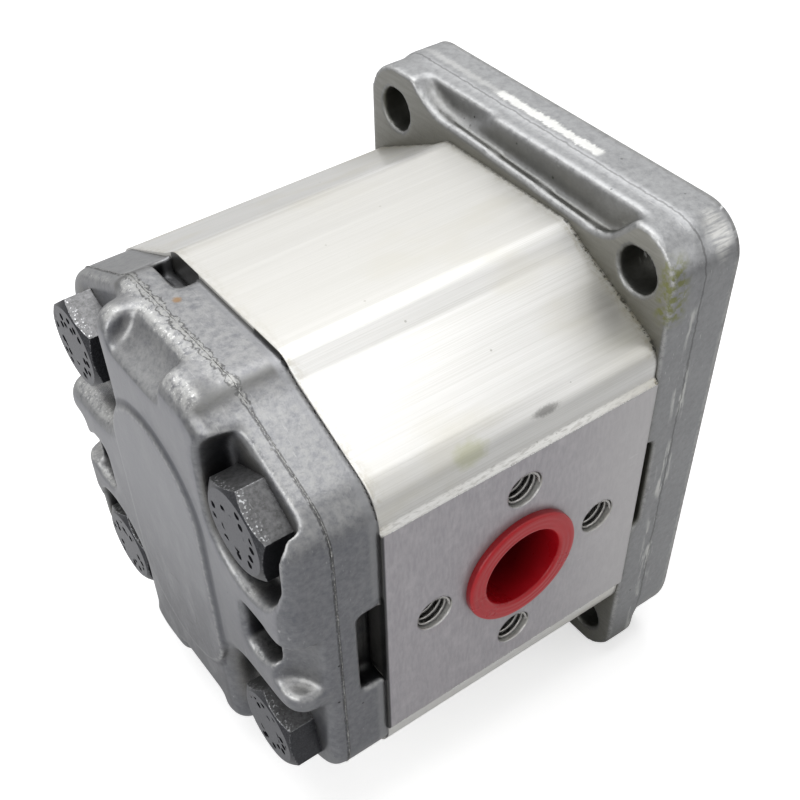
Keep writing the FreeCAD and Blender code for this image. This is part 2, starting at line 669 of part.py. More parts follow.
def make_rear_cover():
    """Die-cast rear cover: base plate, raised crown and four bolt seats, the same after half a turn."""
    body = new_body("rear_cover", x=COVER_FRONT, z=MIDDLE_Z)
    base = sketch_on(body, "YZ", "base")
    add_outline(base, cover_profile("(cover_inset - cover_parting_step)"))
    pad(body, base, "cover_seat_thick", back=True, name="base_pad")
    seat = -size("cover_seat_thick")
    round_edges(body, "cover_shoulder_fillet", lambda edge: lies_at_x(edge, seat), "shoulder")
    raised = sketch_on(body, "YZ", "crown", "-cover_seat_thick / 2")
    add_outline(raised, cover_outline("cover_crown_left", "cover_crown_foot", "cover_crown_side"))
    pad(body, raised, "cover_full_thick - cover_seat_thick / 2", back=True, name="crown_pad")
    rear = -size("cover_full_thick")
    round_edges(body, "cover_crown_fillet", lambda edge: lies_at_x(edge, rear), "crown_round")
    rim = sketch_on(body, "YZ", "rim")
    add_outline(rim, cover_profile("cover_inset"))
    pad(body, rim, "cover_parting", back=True, name="rim_pad")

    crown_scoop = sketch_on(body, "XZ", "crown_scoop", "-crown_scoop_y")
    add_outline(crown_scoop, edge_scoop_outline(HALF_HEIGHT, "crown_scoop_deep", ""))
    crown_cut = pocket(body, crown_scoop, "crown_scoop_wide", midplane=True, name="crown_scoop_cut")
    turned_pair(body, [crown_cut], "crown_scoops")
    side_scoop = sketch_on(body, "XY", "side_scoop", "side_scoop_z")
    add_outline(side_scoop, edge_scoop_outline(HALF_WIDTH, "side_scoop_deep", "-"))
    side_cut = pocket(body, side_scoop, "side_scoop_wide", midplane=True, name="side_scoop_cut")
    turned_pair(body, [side_cut], "side_scoops")

    core = sketch_on(body, "YZ", "core_pocket", "-cover_full_thick")
    outer = f"-{HALF_WIDTH} + core_pocket_edge"
    add_outline(core, [
        (f"{outer} + core_pocket_wide", "-core_pocket_foot", "2"),
        (f"{outer} + core_pocket_wide", "core_pocket_top", "3"),
        (outer, "core_pocket_top", "2"),
        (outer, "-core_pocket_foot + 3", "3"),
        (f"{outer} + core_pocket_wide / 2", "-core_pocket_foot", "2"),
    ])
    hollow = pocket(body, core, "core_pocket_deep", back=True, name="core_cut")
    turned_pair(body, [hollow], "core_pockets")

    pry_top = sketch_on(body, "XZ", "pry_top", "-pry_top_y")
    add_outline(pry_top, [
        ("1", f"{HALF_HEIGHT} - pry_deep", None),
        ("1", f"{HALF_HEIGHT} + 1", None),
        ("-pry_long", f"{HALF_HEIGHT} + 1", None),
        ("-pry_long", f"{HALF_HEIGHT} - pry_deep", "1.5"),
    ])
    top_cut = pocket(body, pry_top, "pry_top_wide", midplane=True, name="pry_top_cut")
    turned_pair(body, [top_cut], "pry_tops")
    pry_side = sketch_on(body, "XY", "pry_side", "-pry_side_drop")
    add_outline(pry_side, [
        ("1", f"-{HALF_WIDTH} - 1", None),
        ("1", f"-{HALF_WIDTH} + pry_deep", None),
        ("-pry_side_long", f"-{HALF_WIDTH} + pry_deep", "1.5"),
        ("-pry_side_long", f"-{HALF_WIDTH} - 1", None),
    ])
    flank_cut = pocket(body, pry_side, "pry_side_high", midplane=True, name="pry_side_cut")
    turned_pair(body, [flank_cut], "pry_sides")

    emblem = sketch_on(body, "YZ", "pad_outline", "-cover_full_thick")
    add_slot(emblem, "cover_pad_radius", "gear_centres / 2")
    pad(body, emblem, "cover_pad_high", back=True, name="end_pad")

    well = sketch_on(body, "YZ", "bolt_well", "-cover_full_thick")
    middle = f"{HALF_HEIGHT} - bolt_edge_z + (bolt_pocket_above - bolt_pocket_below) / 2"
    half = "(bolt_pocket_above + bolt_pocket_below) / 2"
    add_slot(well, "bolt_pocket_radius", half, f"-{HALF_WIDTH} + bolt_edge_y - bolt_pocket_shift", middle)
    deep = "cover_full_thick - cover_seat_thick"
    cut = pocket(body, well, deep, back=True, name="bolt_well_cut", draft="bolt_pocket_draft")
    turned_pair(body, [cut], "bolt_wells")

    bolts = sketch_on(body, "YZ", "bolt_holes")
    for y, z in bolt_places():
        add_circle(bolts, y, z, "bolt_dia / 2 + bolt_hole_clearance")
    pocket(body, bolts, "cover_full_thick", name="bolt_holes_cut")
    dowels = sketch_on(body, "YZ", "dowel_holes")
    for y, z in dowel_places():
        add_circle(dowels, y, z, "dowel_dia / 2")
    pocket(body, dowels, "dowel_long / 2 + dowel_end_gap", name="dowel_holes_cut")
    racetrack_groove(body, "seal_groove", back=True)


def add_band(sketch, y, z, inner, outer, start, stop):
    """Part of a flat ring about (y, z), from the angle start to the angle stop."""
    arcs = []
    for radius in (outer, inner):
        circle = Part.Circle(Vector(size(y), size(z), 0), Vector(0, 0, 1), size(radius))
        sweep = Part.ArcOfCircle(circle, math.radians(size(start)), math.radians(size(stop)))
        arcs.append(sketch.addGeometry(sweep, False))
    for position, angle in ((1, start), (2, stop)):
        ends = [sketch.Geometry[arc].StartPoint if position == 1 else sketch.Geometry[arc].EndPoint for arc in arcs]
        line = sketch.addGeometry(Part.LineSegment(*ends), False)
        for arc, at, radius in ((arcs[0], 1, outer), (arcs[1], 2, inner)):
            sketch.addConstraint(Sketcher.Constraint("Coincident", line, at, arc, position))
            place_point(sketch, line, at, f"{y} + ({radius}) * cos({angle})", f"{z} + ({radius}) * sin({angle})")
    dimension(sketch, "Radius", (arcs[0],), outer)
    dimension(sketch, "Radius", (arcs[1],), inner)
    sketch.solve()


def turn_about(body, sketch, axis, name="turning"):
    """Sweep a profile all the way round one of its sketch's axes."""
    feature = body.newObject("PartDesign::Revolution", f"{body.Label}_{name}")
    feature.Profile = sketch
    feature.ReferenceAxis = (sketch, [axis])
    feature.Angle = 360
    return finished(feature)


def turned_piece(label, corners, **place):
    """A piece turned about the shaft direction from corners (x, radius, fillet)."""
    body = new_body(label, **place)
    profile = sketch_on(body, "XZ", "profile")
    add_outline(profile, corners)
    turn_about(body, profile, "H_Axis")
    return body


def tube_corners(length, inner, outer):
    return [("0", inner, None), ("0", outer, None), (length, outer, None), (length, inner, None)]


def hexagon(sketch, flats):
    corner = f"{flats} / (2 * cos(30))"
    add_outline(sketch, [
        (f"{corner} * cos({60 * k})", f"{corner} * sin({60 * k})", None) for k in range(6)
    ])


def chamfer_hexagon(body, face, flats, inward, name="head_chamfer"):
    """Cone off the corners of a hexagon at its outer face, as a bolt head or nut is turned."""
    groove = sketch_on(body, "XZ", name)
    past = f"({flats} * 0.6)"
    start = f"({flats} * 0.475)"
    add_outline(groove, [
        (face, start, None),
        (face, past, None),
        (f"{face} + ({inward}) * ({past} - {start}) * tan(30)", past, None),
    ])
    doc.recompute()
    before = body.Tip.Shape.Volume
    feature = body.newObject("PartDesign::Groove", f"{body.Label}_{name}_cut")
    feature.Profile = groove
    feature.ReferenceAxis = (groove, ["H_Axis"])
    feature.Angle = 360
    finished(feature)
    if feature.Shape.Volume > before - 0.01:
        raise RuntimeError(f"{feature.Label} cuts nothing")


def involute_teeth():
    """Spur gear blank about X, its middle at x = 0, with a tooth pointing up."""
    count = int(size("gear_teeth"))
    angle = math.radians(size("pressure_angle"))
    pitch_radius = size("gear_centres") / 2
    base_radius = pitch_radius * math.cos(angle)
    tip, root, wide = size("gear_tip_radius"), size("gear_root_radius"), size("gear_wide")
    pitch_half = (math.pi * pitch_radius / count - size("tooth_thinning") / 2) / (2 * pitch_radius)
    involute = math.tan(angle) - angle

    def half_angle(radius):
        local = math.acos(base_radius / radius)
        return pitch_half + involute - (math.tan(local) - local)

    def polar(radius, turn):
        return Vector(-wide / 2, -radius * math.sin(turn), radius * math.cos(turn))

    flank_steps = 6
    radii = [base_radius + (tip - base_radius) * k / flank_steps for k in range(flank_steps + 1)]
    edges = []
    for tooth in range(count):
        middle = 2 * math.pi * tooth / count
        rise = [polar(radius, middle - half_angle(max(radius, base_radius * 1.00001))) for radius in radii]
        fall = [polar(radius, middle + half_angle(max(radius, base_radius * 1.00001))) for radius in reversed(radii)]
        foot_in = polar(root, middle - half_angle(base_radius * 1.00001))
        foot_out = polar(root, middle + half_angle(base_radius * 1.00001))
        next_middle = middle + 2 * math.pi / count
        next_foot = polar(root, next_middle - half_angle(base_radius * 1.00001))
        edges.append(Part.LineSegment(foot_in, rise[0]).toShape())
        for points in (rise, fall):
            curve = Part.BSplineCurve()
            curve.interpolate(points)
            edges.append(curve.toShape())
            if points is rise:
                edges.append(Part.Arc(rise[-1], polar(tip, middle), fall[0]).toShape())
        edges.append(Part.LineSegment(fall[-1], foot_out).toShape())
        edges.append(Part.Arc(foot_out, polar(root, middle + math.pi / count), next_foot).toShape())
    return Part.Face(Part.Wire(edges)).extrude(Vector(wide, 0, 0))


def make_gear_shaft(label, front_corners, z, turn):
    """A gear forged in one piece with its two journals: front_corners end the front journal."""
    teeth = doc.addObject("Part::Feature", label + "_teeth")
    teeth.Shape = involute_teeth()
    teeth.Placement = FreeCAD.Placement(Vector(size(PORT_X), 0, 0), FreeCAD.Rotation(Vector(1, 0, 0), size(turn)))
    shaft = new_body(label + "_shaft")
    pieces.remove(shaft)
    rear = f"{COVER_FRONT} + journal_end_gap"
    profile = sketch_on(shaft, "XZ", "profile")
    add_outline(profile, [
        (rear, "0", None),
        (rear, "journal_dia / 2 - shaft_chamfer", None),
        (f"{rear} + shaft_chamfer", "journal_dia / 2", None),
    ] + front_corners)
    turn_about(shaft, profile, "H_Axis")
    whole = doc.addObject("Part::MultiFuse", label)
    whole.Label = label
    whole.Shapes = [teeth, shaft]
    whole.Refine = True
    bind(whole, ".Placement.Base.z", z)
    pieces.append(whole)
    return shaft


def make_drive_gear_shaft():
    shoulder = "taper_start + taper_long"
    small_end = "taper_big_dia / 2 - taper_long / (2 * taper_ratio)"
    shaft = make_gear_shaft("drive_gear_shaft", [
        ("taper_start - shaft_chamfer", "journal_dia / 2", None),
        ("taper_start", "taper_big_dia / 2", None),
        (shoulder, small_end, None),
        (shoulder, "thread_core_dia / 2", None),
        ("shaft_reach - shaft_chamfer", "thread_core_dia / 2", None),
        ("shaft_reach", "thread_core_dia / 2 - shaft_chamfer", None),
        ("shaft_reach", "0", None),
    ], "0", "180")
    seat = sketch_on(shaft, "XZ", "key_seat")
    add_circle(seat, KEY_X, KEY_RISE, "key_dia / 2")
    pocket(shaft, seat, "key_wide", midplane=True, name="key_seat_cut")


def make_driven_gear_shaft():
    end = "-flange_thick - journal_end_gap"
    make_gear_shaft("driven_gear_shaft", [
        (f"{end} - shaft_chamfer", "journal_dia / 2", None),
        (end, "journal_dia / 2 - shaft_chamfer", None),
        (end, "0", None),
    ], "-gear_centres", "180 / gear_teeth")


KEY_X = "taper_start + taper_long / 2"
KEY_RISE = "taper_big_dia / 2 - taper_long / (4 * taper_ratio) + key_proud - key_high + key_dia / 2"


def make_shaft_end():
    """Half-moon key in the taper, then the washer and the nut that hold a coupling on it."""
    key = new_body("shaft_key")
    disc = sketch_on(key, "XZ", "disc", "-key_wide / 2")
    add_circle(disc, KEY_X, KEY_RISE, "key_dia / 2")
    pad(key, disc, "key_wide", name="disc_pad")
    flat = sketch_on(key, "XZ", "flat")
    top = f"{KEY_RISE} + key_high - key_dia / 2"
    add_outline(flat, [
        (f"{KEY_X} - key_dia", top, None),
        (f"{KEY_X} + key_dia", top, None),
        (f"{KEY_X} + key_dia", f"{top} + key_dia", None),
        (f"{KEY_X} - key_dia", f"{top} + key_dia", None),
    ])
    pocket(key, flat, "2 * key_wide", midplane=True, name="flat_cut")
    turned_piece(
        "shaft_washer",
        tube_corners("washer_thick", "thread_dia / 2 + washer_clearance", "washer_dia / 2"),
        x="taper_start + taper_long",
    )
    nut = new_body("shaft_nut", x="taper_start + taper_long + washer_thick")
    blank = sketch_on(nut, "YZ", "blank")
    hexagon(blank, "nut_flats")
    pad(nut, blank, "nut_high", name="blank_pad")
    bore = sketch_on(nut, "YZ", "bore", "nut_high")
    add_circle(bore, "0", "0", "thread_core_dia / 2")
    pocket(nut, bore, "nut_high", name="bore_cut")
    chamfer_hexagon(nut, "nut_high", "nut_flats", "-1")


BLOCK_LONG = "((body_long - gear_wide) / 2 - gear_side_clearance)"
BUSH_OUTER = "(journal_dia / 2 + journal_clearance + bush_wall)"
SEAL_INNER = "pressure_seal_radius"
SEAL_OUTER = "pressure_seal_radius + pressure_seal_wide"
BACKUP_INNER = "pressure_seal_radius - backup_ring_wide"
SEAL_SWEEP = [("-90", "100"), ("-100", "90")]


def make_bearing_set(end):
    """A bearing block, its two bushes, and the seals on its outer face, at one end of the gears."""
    front = end == "front"
    sign = "-" if front else ""
    face = "-flange_thick" if front else "-flange_thick - body_long"
    block = new_body(end + "_bearing_block", x=face, z=MIDDLE_Z)
    outline = sketch_on(block, "YZ", "outline")
    radius = "gear_bore / 2 - block_clearance"
    reach = f"sqrt(({radius})^2 - gear_centres^2 / 4)"
    add_eight(outline, radius, "gear_centres / 2", reach)
    pad(block, outline, BLOCK_LONG, back=front, name="outline_pad")
    bores = sketch_on(block, "YZ", "bores")
    for axis in GEAR_AXES:
        add_circle(bores, "0", axis, BUSH_OUTER)
    pocket(block, bores, BLOCK_LONG, back=not front, name="bores_cut")
    for index, axis in enumerate(GEAR_AXES):
        track = sketch_on(block, "YZ", f"seal_track_{index}")
        add_band(track, "0", axis, BACKUP_INNER, SEAL_OUTER, *SEAL_SWEEP[index])
        pocket(block, track, "pressure_groove_deep", back=not front, name=f"seal_track_{index}_cut")
    for side in ("", "-"):
        relief = sketch_on(block, "YZ", "relief" + ("_low" if side else "_high"), f"{sign}{BLOCK_LONG}")
        near, far = f"{side}relief_gap", f"{side}(relief_gap + relief_wide)"
        add_outline(relief, [
            (near, "-relief_high / 2", None),
            (far, "-relief_high / 2", None),
            (far, "relief_high / 2", None),
            (near, "relief_high / 2", None),
        ])
        pocket(block, relief, "relief_deep", back=front, name=relief.Label + "_cut")
    seal = new_body(end + "_pressure_seal", x=face, z=MIDDLE_Z)
    for index, (gear, axis) in enumerate(zip(("drive", "driven"), GEAR_AXES)):
        band = sketch_on(seal, "YZ", f"band_{index}")
        add_band(band, "0", axis, SEAL_INNER, SEAL_OUTER, *SEAL_SWEEP[index])
        pad(seal, band, "pressure_groove_deep", back=front, name=f"band_{index}_pad")
        ring = new_body(f"{end}_{gear}_backup_ring", x=face, z=MIDDLE_Z)
        band = sketch_on(ring, "YZ", "band")
        add_band(band, "0", axis, BACKUP_INNER, SEAL_INNER, *SEAL_SWEEP[index])
        pad(ring, band, "pressure_groove_deep", back=front, name="band_pad")
    for gear, axis in zip(("drive", "driven"), ("0", "-gear_centres")):
        start = f"{face} - {BLOCK_LONG}" if front else face
        turned_piece(
            f"{end}_{gear}_bush",
            tube_corners(BLOCK_LONG, "journal_dia / 2 + journal_clearance", BUSH_OUTER),
            x=start,
            z=axis,
        )


def make_body_seals():
    middle = size("gear_bore / 2 + body_seal_offset")
    cord = size("body_seal_dia / 2")
    for label, face in (("front_body_seal", "-flange_thick + body_seal_dia / 2"),
                        ("rear_body_seal", "-flange_thick - body_long - body_seal_dia / 2")):
        new_shape(label, racetrack_ring(middle, cord), x=face, z=MIDDLE_Z)


def make_shaft_seal():
    """Lip seal on the drive shaft: steel case, rubber lip, garter spring and retaining ring."""
    rear = "pilot_long - seal_bore_deep"
    outer, wall = "seal_bore_dia / 2", "seal_case_wall"
    mouth = f"({outer} - seal_case_lap)"
    turned_piece("shaft_seal_case", [
        ("0", f"{outer} - {wall}", None),
        ("0", outer, None),
        ("seal_wide", outer, "0.4"),
        ("seal_wide", mouth, None),
        (f"seal_wide - {wall}", mouth, None),
        (f"seal_wide - {wall}", f"{outer} - {wall}", None),
    ], x=rear)
    lip = "(journal_dia / 2 + seal_lip_clearance)"
    back = f"(seal_wide - {wall})"
    crest = f"({lip} + seal_lip_high)"
    turned_piece("shaft_seal_lip", [
        (back, f"{outer} - {wall}", None),
        (f"{back} - seal_lip_thick", f"{outer} - {wall}", None),
        (f"{back} - seal_lip_thick", crest, None),
        ("seal_lip_start", crest, None),
        ("seal_lip_start", f"{lip} + seal_lip_high / 2", None),
        ("seal_lip_start + seal_lip_high / 2", lip, None),
        ("seal_lip_start + seal_lip_high", lip, None),
        (back, f"{lip} + seal_lip_high / 2", None),
    ], x=rear)
    spring = doc.addObject("Part::Torus", "shaft_seal_spring")
    spring.Label = "shaft_seal_spring"
    bind(spring, "Radius1", f"{crest} + seal_spring_dia / 2")
    bind(spring, "Radius2", "seal_spring_dia / 2")
    spring.Placement = FreeCAD.Placement(Vector(), FreeCAD.Rotation(Vector(0, 1, 0), 90))
    bind(spring, ".Placement.Base.x", f"{rear} + seal_lip_start + seal_lip_high / 2")
    pieces.append(spring)
    ring = new_body("seal_retaining_ring", x=f"{rear} + seal_wide")
    band = sketch_on(ring, "YZ", "band")
    groove = "seal_bore_dia / 2 + retaining_groove_deep"
    half_gap = "retaining_ring_gap * 90 / (pi * seal_bore_dia / 2)"
    add_band(band, "0", "0", f"{groove} - retaining_ring_radial", groove, f"-90 + {half_gap}", f"270 - {half_gap}")
    pad(ring, band, "retaining_ring_thick", name="band_pad")


def make_bolts():
    """Four hexagon bolts from the rear through cover and body into the flange."""
    seat = f"{COVER_FRONT} - cover_seat_thick"
    for number, (y, z) in enumerate(bolt_places(), start=1):
        turn = (Vector(1, 0, 0), size(f"bolt_turn_{number}"))
        bolt = new_body(f"cover_bolt_{number}", x=seat, y=y, z=f"{z} + {MIDDLE_Z}", turn=turn)
        head = sketch_on(bolt, "YZ", "head")
        hexagon(head, "bolt_head_flats")
        pad(bolt, head, "bolt_head_high", back=True, name="head_pad")
        chamfer_hexagon(bolt, "-bolt_head_high", "bolt_head_flats", "1")
        shank = sketch_on(bolt, "YZ", "shank")
        add_circle(shank, "0", "0", "bolt_dia / 2")
        pad(bolt, shank, "bolt_length", name="shank_pad")


def make_dowels():
    for joint, x in (("front", BODY_FRONT), ("rear", COVER_FRONT)):
        for number, (y, z) in enumerate(dowel_places(), start=1):
            half = "dowel_dia / 2"
            turned_piece(f"{joint}_dowel_{number}", [
                ("-dowel_long / 2", "0", None),
                ("-dowel_long / 2", f"{half} - shaft_chamfer", None),
                ("-dowel_long / 2 + shaft_chamfer", half, None),
                ("dowel_long / 2 - shaft_chamfer", half, None),
                ("dowel_long / 2", f"{half} - shaft_chamfer", None),
                ("dowel_long / 2", "0", None),
            ], x=x, y=y, z=f"{z} + {MIDDLE_Z}")


def make_port_plugs():
    """Moulded cups that are pushed into both ports and pulled off before the pump is fitted."""
    for port, y, turn in (("inlet", "-body_width / 2", 0), ("outlet", "body_width / 2", 180)):
        plug = new_body(port + "_port_plug", x=PORT_X, y=y, z=MIDDLE_Z, turn=(Vector(0, 0, 1), turn))
        profile = sketch_on(plug, "XY", "profile")
        sleeve = f"({port}_bore_dia / 2 - plug_clearance)"
        rim = f"({port}_bore_dia / 2 + plug_rim_overhang)"
        add_outline(profile, [
            ("0", "plug_long - plug_floor", None),
            (f"{sleeve} - plug_wall - plug_taper", "plug_long - plug_floor", "0.8"),
            (f"{sleeve} - plug_wall", "-plug_rim_thick", "0.6"),
            (rim, "-plug_rim_thick", "0.6"),
            (rim, "0", None),
            (sleeve, "0", None),
            (f"{sleeve} - plug_taper", "plug_long", "0.6"),
            ("0", "plug_long", None),
        ])
        turn_about(plug, profile, "V_Axis")


make_pump_body()
make_front_flange()
make_rear_cover()
make_drive_gear_shaft()
make_driven_gear_shaft()
make_shaft_end()
for end in ("front", "rear"):
    make_bearing_set(end)
make_body_seals()
make_shaft_seal()
make_bolts()
make_dowels()
make_port_plugs()

doc.recompute()
broken = [one.Label for one in doc.Objects if "Invalid" in one.State or "Error" in one.State]
if broken:
    raise RuntimeError("failed: " + ", ".join(broken))
for piece in pieces:
    if piece.Shape.isNull() or not piece.Shape.isValid():
        raise RuntimeError(f"{piece.Label} has no valid shape")

os.makedirs("parts", exist_ok=True)
for piece in pieces:
    piece.Shape.exportStep(os.path.join("parts", piece.Label + ".step"))
    print(f"{piece.Label}: {len(piece.Shape.Solids)} solid, {piece.Shape.Volume / 1000:.2f} cm3")
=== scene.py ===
import math

import bmesh
import bpy
from mathutils import Matrix, Vector
from mathutils.bvhtree import BVHTree


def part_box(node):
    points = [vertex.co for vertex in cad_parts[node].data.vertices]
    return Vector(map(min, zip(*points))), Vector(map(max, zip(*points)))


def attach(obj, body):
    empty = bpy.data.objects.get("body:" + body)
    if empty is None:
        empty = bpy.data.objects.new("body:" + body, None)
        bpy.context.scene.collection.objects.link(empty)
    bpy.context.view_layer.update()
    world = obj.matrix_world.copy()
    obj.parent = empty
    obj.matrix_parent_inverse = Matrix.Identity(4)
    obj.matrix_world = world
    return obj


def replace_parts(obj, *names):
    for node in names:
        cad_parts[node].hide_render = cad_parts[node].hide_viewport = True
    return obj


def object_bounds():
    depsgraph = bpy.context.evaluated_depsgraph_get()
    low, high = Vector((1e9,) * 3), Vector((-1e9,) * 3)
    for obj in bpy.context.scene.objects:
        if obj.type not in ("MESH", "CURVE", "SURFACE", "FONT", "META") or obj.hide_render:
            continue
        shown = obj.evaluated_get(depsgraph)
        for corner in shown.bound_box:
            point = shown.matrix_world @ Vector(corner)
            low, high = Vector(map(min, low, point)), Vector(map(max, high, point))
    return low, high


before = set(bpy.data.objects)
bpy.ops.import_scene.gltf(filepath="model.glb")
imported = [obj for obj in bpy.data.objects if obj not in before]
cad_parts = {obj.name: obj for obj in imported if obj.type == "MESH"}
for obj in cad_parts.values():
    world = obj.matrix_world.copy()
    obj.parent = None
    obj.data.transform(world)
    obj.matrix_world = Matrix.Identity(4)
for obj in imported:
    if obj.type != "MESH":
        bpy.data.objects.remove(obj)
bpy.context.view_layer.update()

scene = bpy.context.scene
MM = 0.001

# Camera. The photographer stood behind the pump, above it and on its inlet side, and cropped the
# picture off centre, which the small shift repeats.
camera_lens = bpy.data.cameras.new("camera")
camera = bpy.data.objects.new("camera", camera_lens)
scene.collection.objects.link(camera)
camera_place = Vector((-148.03, -150.43, 156.77)) * MM
camera_right = Vector((0.8103, -0.5856, -0.0228)).normalized()
camera_ahead = Vector((0.3875, 0.5646, -0.7287)).normalized()
camera_up = camera_right.cross(camera_ahead)
camera_turn = Matrix((camera_right, camera_up, -camera_ahead)).transposed().to_4x4()
camera.matrix_world = Matrix.Translation(camera_place) @ camera_turn
camera_lens.sensor_width = 36.0
camera_lens.lens = 53.23
camera_lens.shift_x = 0.0125
camera_lens.shift_y = 0.125
camera_lens.clip_start = 0.01
camera_lens.clip_end = 20.0
camera_lens.dof.use_dof = False
scene.camera = camera

# Studio. A pale floor that runs out of sight, and a white surround: a large soft lamp overhead,
# a weaker one at the photographer's side, and the surround's own light.
floor_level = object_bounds()[0].z - 0.2 * MM
floor_reach = 6.0
floor_mesh = bpy.data.meshes.new("floor")
floor_mesh.from_pydata(
    [(floor_reach * x, floor_reach * y, floor_level) for x, y in ((-1, -1), (1, -1), (1, 1), (-1, 1))],
    [],
    [(0, 1, 2, 3)],
)
floor = bpy.data.objects.new("floor", floor_mesh)
scene.collection.objects.link(floor)

paper_white, paper_glow_seen = 0.86, 0.55
paper = bpy.data.materials.new("paper_floor")
paper.use_nodes = True
paper_nodes, paper_links = paper.node_tree.nodes, paper.node_tree.links
paper_nodes.clear()
paper_out = paper_nodes.new("ShaderNodeOutputMaterial")
paper_sum = paper_nodes.new("ShaderNodeAddShader")
paper_matt = paper_nodes.new("ShaderNodeBsdfDiffuse")
paper_matt.inputs["Color"].default_value = (paper_white, paper_white, paper_white, 1)
paper_glow = paper_nodes.new("ShaderNodeEmission")
paper_rays = paper_nodes.new("ShaderNodeLightPath")
paper_seen = paper_nodes.new("ShaderNodeMath")
paper_seen.operation = "MULTIPLY"
paper_seen.inputs[1].default_value = paper_glow_seen
paper_links.new(paper_rays.outputs["Is Camera Ray"], paper_seen.inputs[0])
paper_links.new(paper_seen.outputs[0], paper_glow.inputs["Strength"])
paper_links.new(paper_matt.outputs[0], paper_sum.inputs[0])
paper_links.new(paper_glow.outputs[0], paper_sum.inputs[1])
paper_links.new(paper_sum.outputs[0], paper_out.inputs["Surface"])
floor_mesh.materials.append(paper)

# The surround lights matt surfaces less than it shows in glossy ones.
matt_light, mirror_light = 0.33, 1.0
surround = bpy.data.worlds.new("surround")
scene.world = surround
surround.use_nodes = True
air_nodes, air_links = surround.node_tree.nodes, surround.node_tree.links
air_nodes.clear()
air_out = air_nodes.new("ShaderNodeOutputWorld")
air_light = air_nodes.new("ShaderNodeBackground")
air_light.inputs["Color"].default_value = (1, 1, 1, 1)
air_rays = air_nodes.new("ShaderNodeLightPath")
air_seen = air_nodes.new("ShaderNodeMath")
air_seen.operation = "MAXIMUM"
air_any = air_nodes.new("ShaderNodeMath")
air_any.operation = "MAXIMUM"
air_strength = air_nodes.new("ShaderNodeMapRange")
air_strength.inputs["To Min"].default_value = matt_light
air_strength.inputs["To Max"].default_value = mirror_light
air_links.new(air_rays.outputs["Is Camera Ray"], air_seen.inputs[0])
air_links.new(air_rays.outputs["Is Transmission Ray"], air_seen.inputs[1])
air_links.new(air_seen.outputs[0], air_any.inputs[0])
air_links.new(air_rays.outputs["Is Glossy Ray"], air_any.inputs[1])
air_links.new(air_any.outputs[0], air_strength.inputs["Value"])
air_links.new(air_strength.outputs["Result"], air_light.inputs["Strength"])
air_links.new(air_light.outputs[0], air_out.inputs["Surface"])

lamps_aim_at = Vector((-0.04, 0.0, -0.02))
for lamp_name, lamp_place, lamp_size, lamp_power in (
    ("lamp_overhead", (-0.02, 0.16, 0.60), 0.70, 3.2),
    ("lamp_beside", (-0.62, -0.12, 0.26), 0.45, 1.5),
    ("lamp_front", (0.45, -0.45, 0.25), 0.35, 0.3),
):
    lamp_data = bpy.data.lights.new(lamp_name, "AREA")
    lamp_data.size = lamp_size
    lamp_data.energy = lamp_power
    lamp = bpy.data.objects.new(lamp_name, lamp_data)
    lamp.location = lamp_place
    lamp.rotation_euler = (lamps_aim_at - Vector(lamp_place)).to_track_quat("-Z", "Y").to_euler()
    scene.collection.objects.link(lamp)

scene.view_settings.view_transform = "Standard"


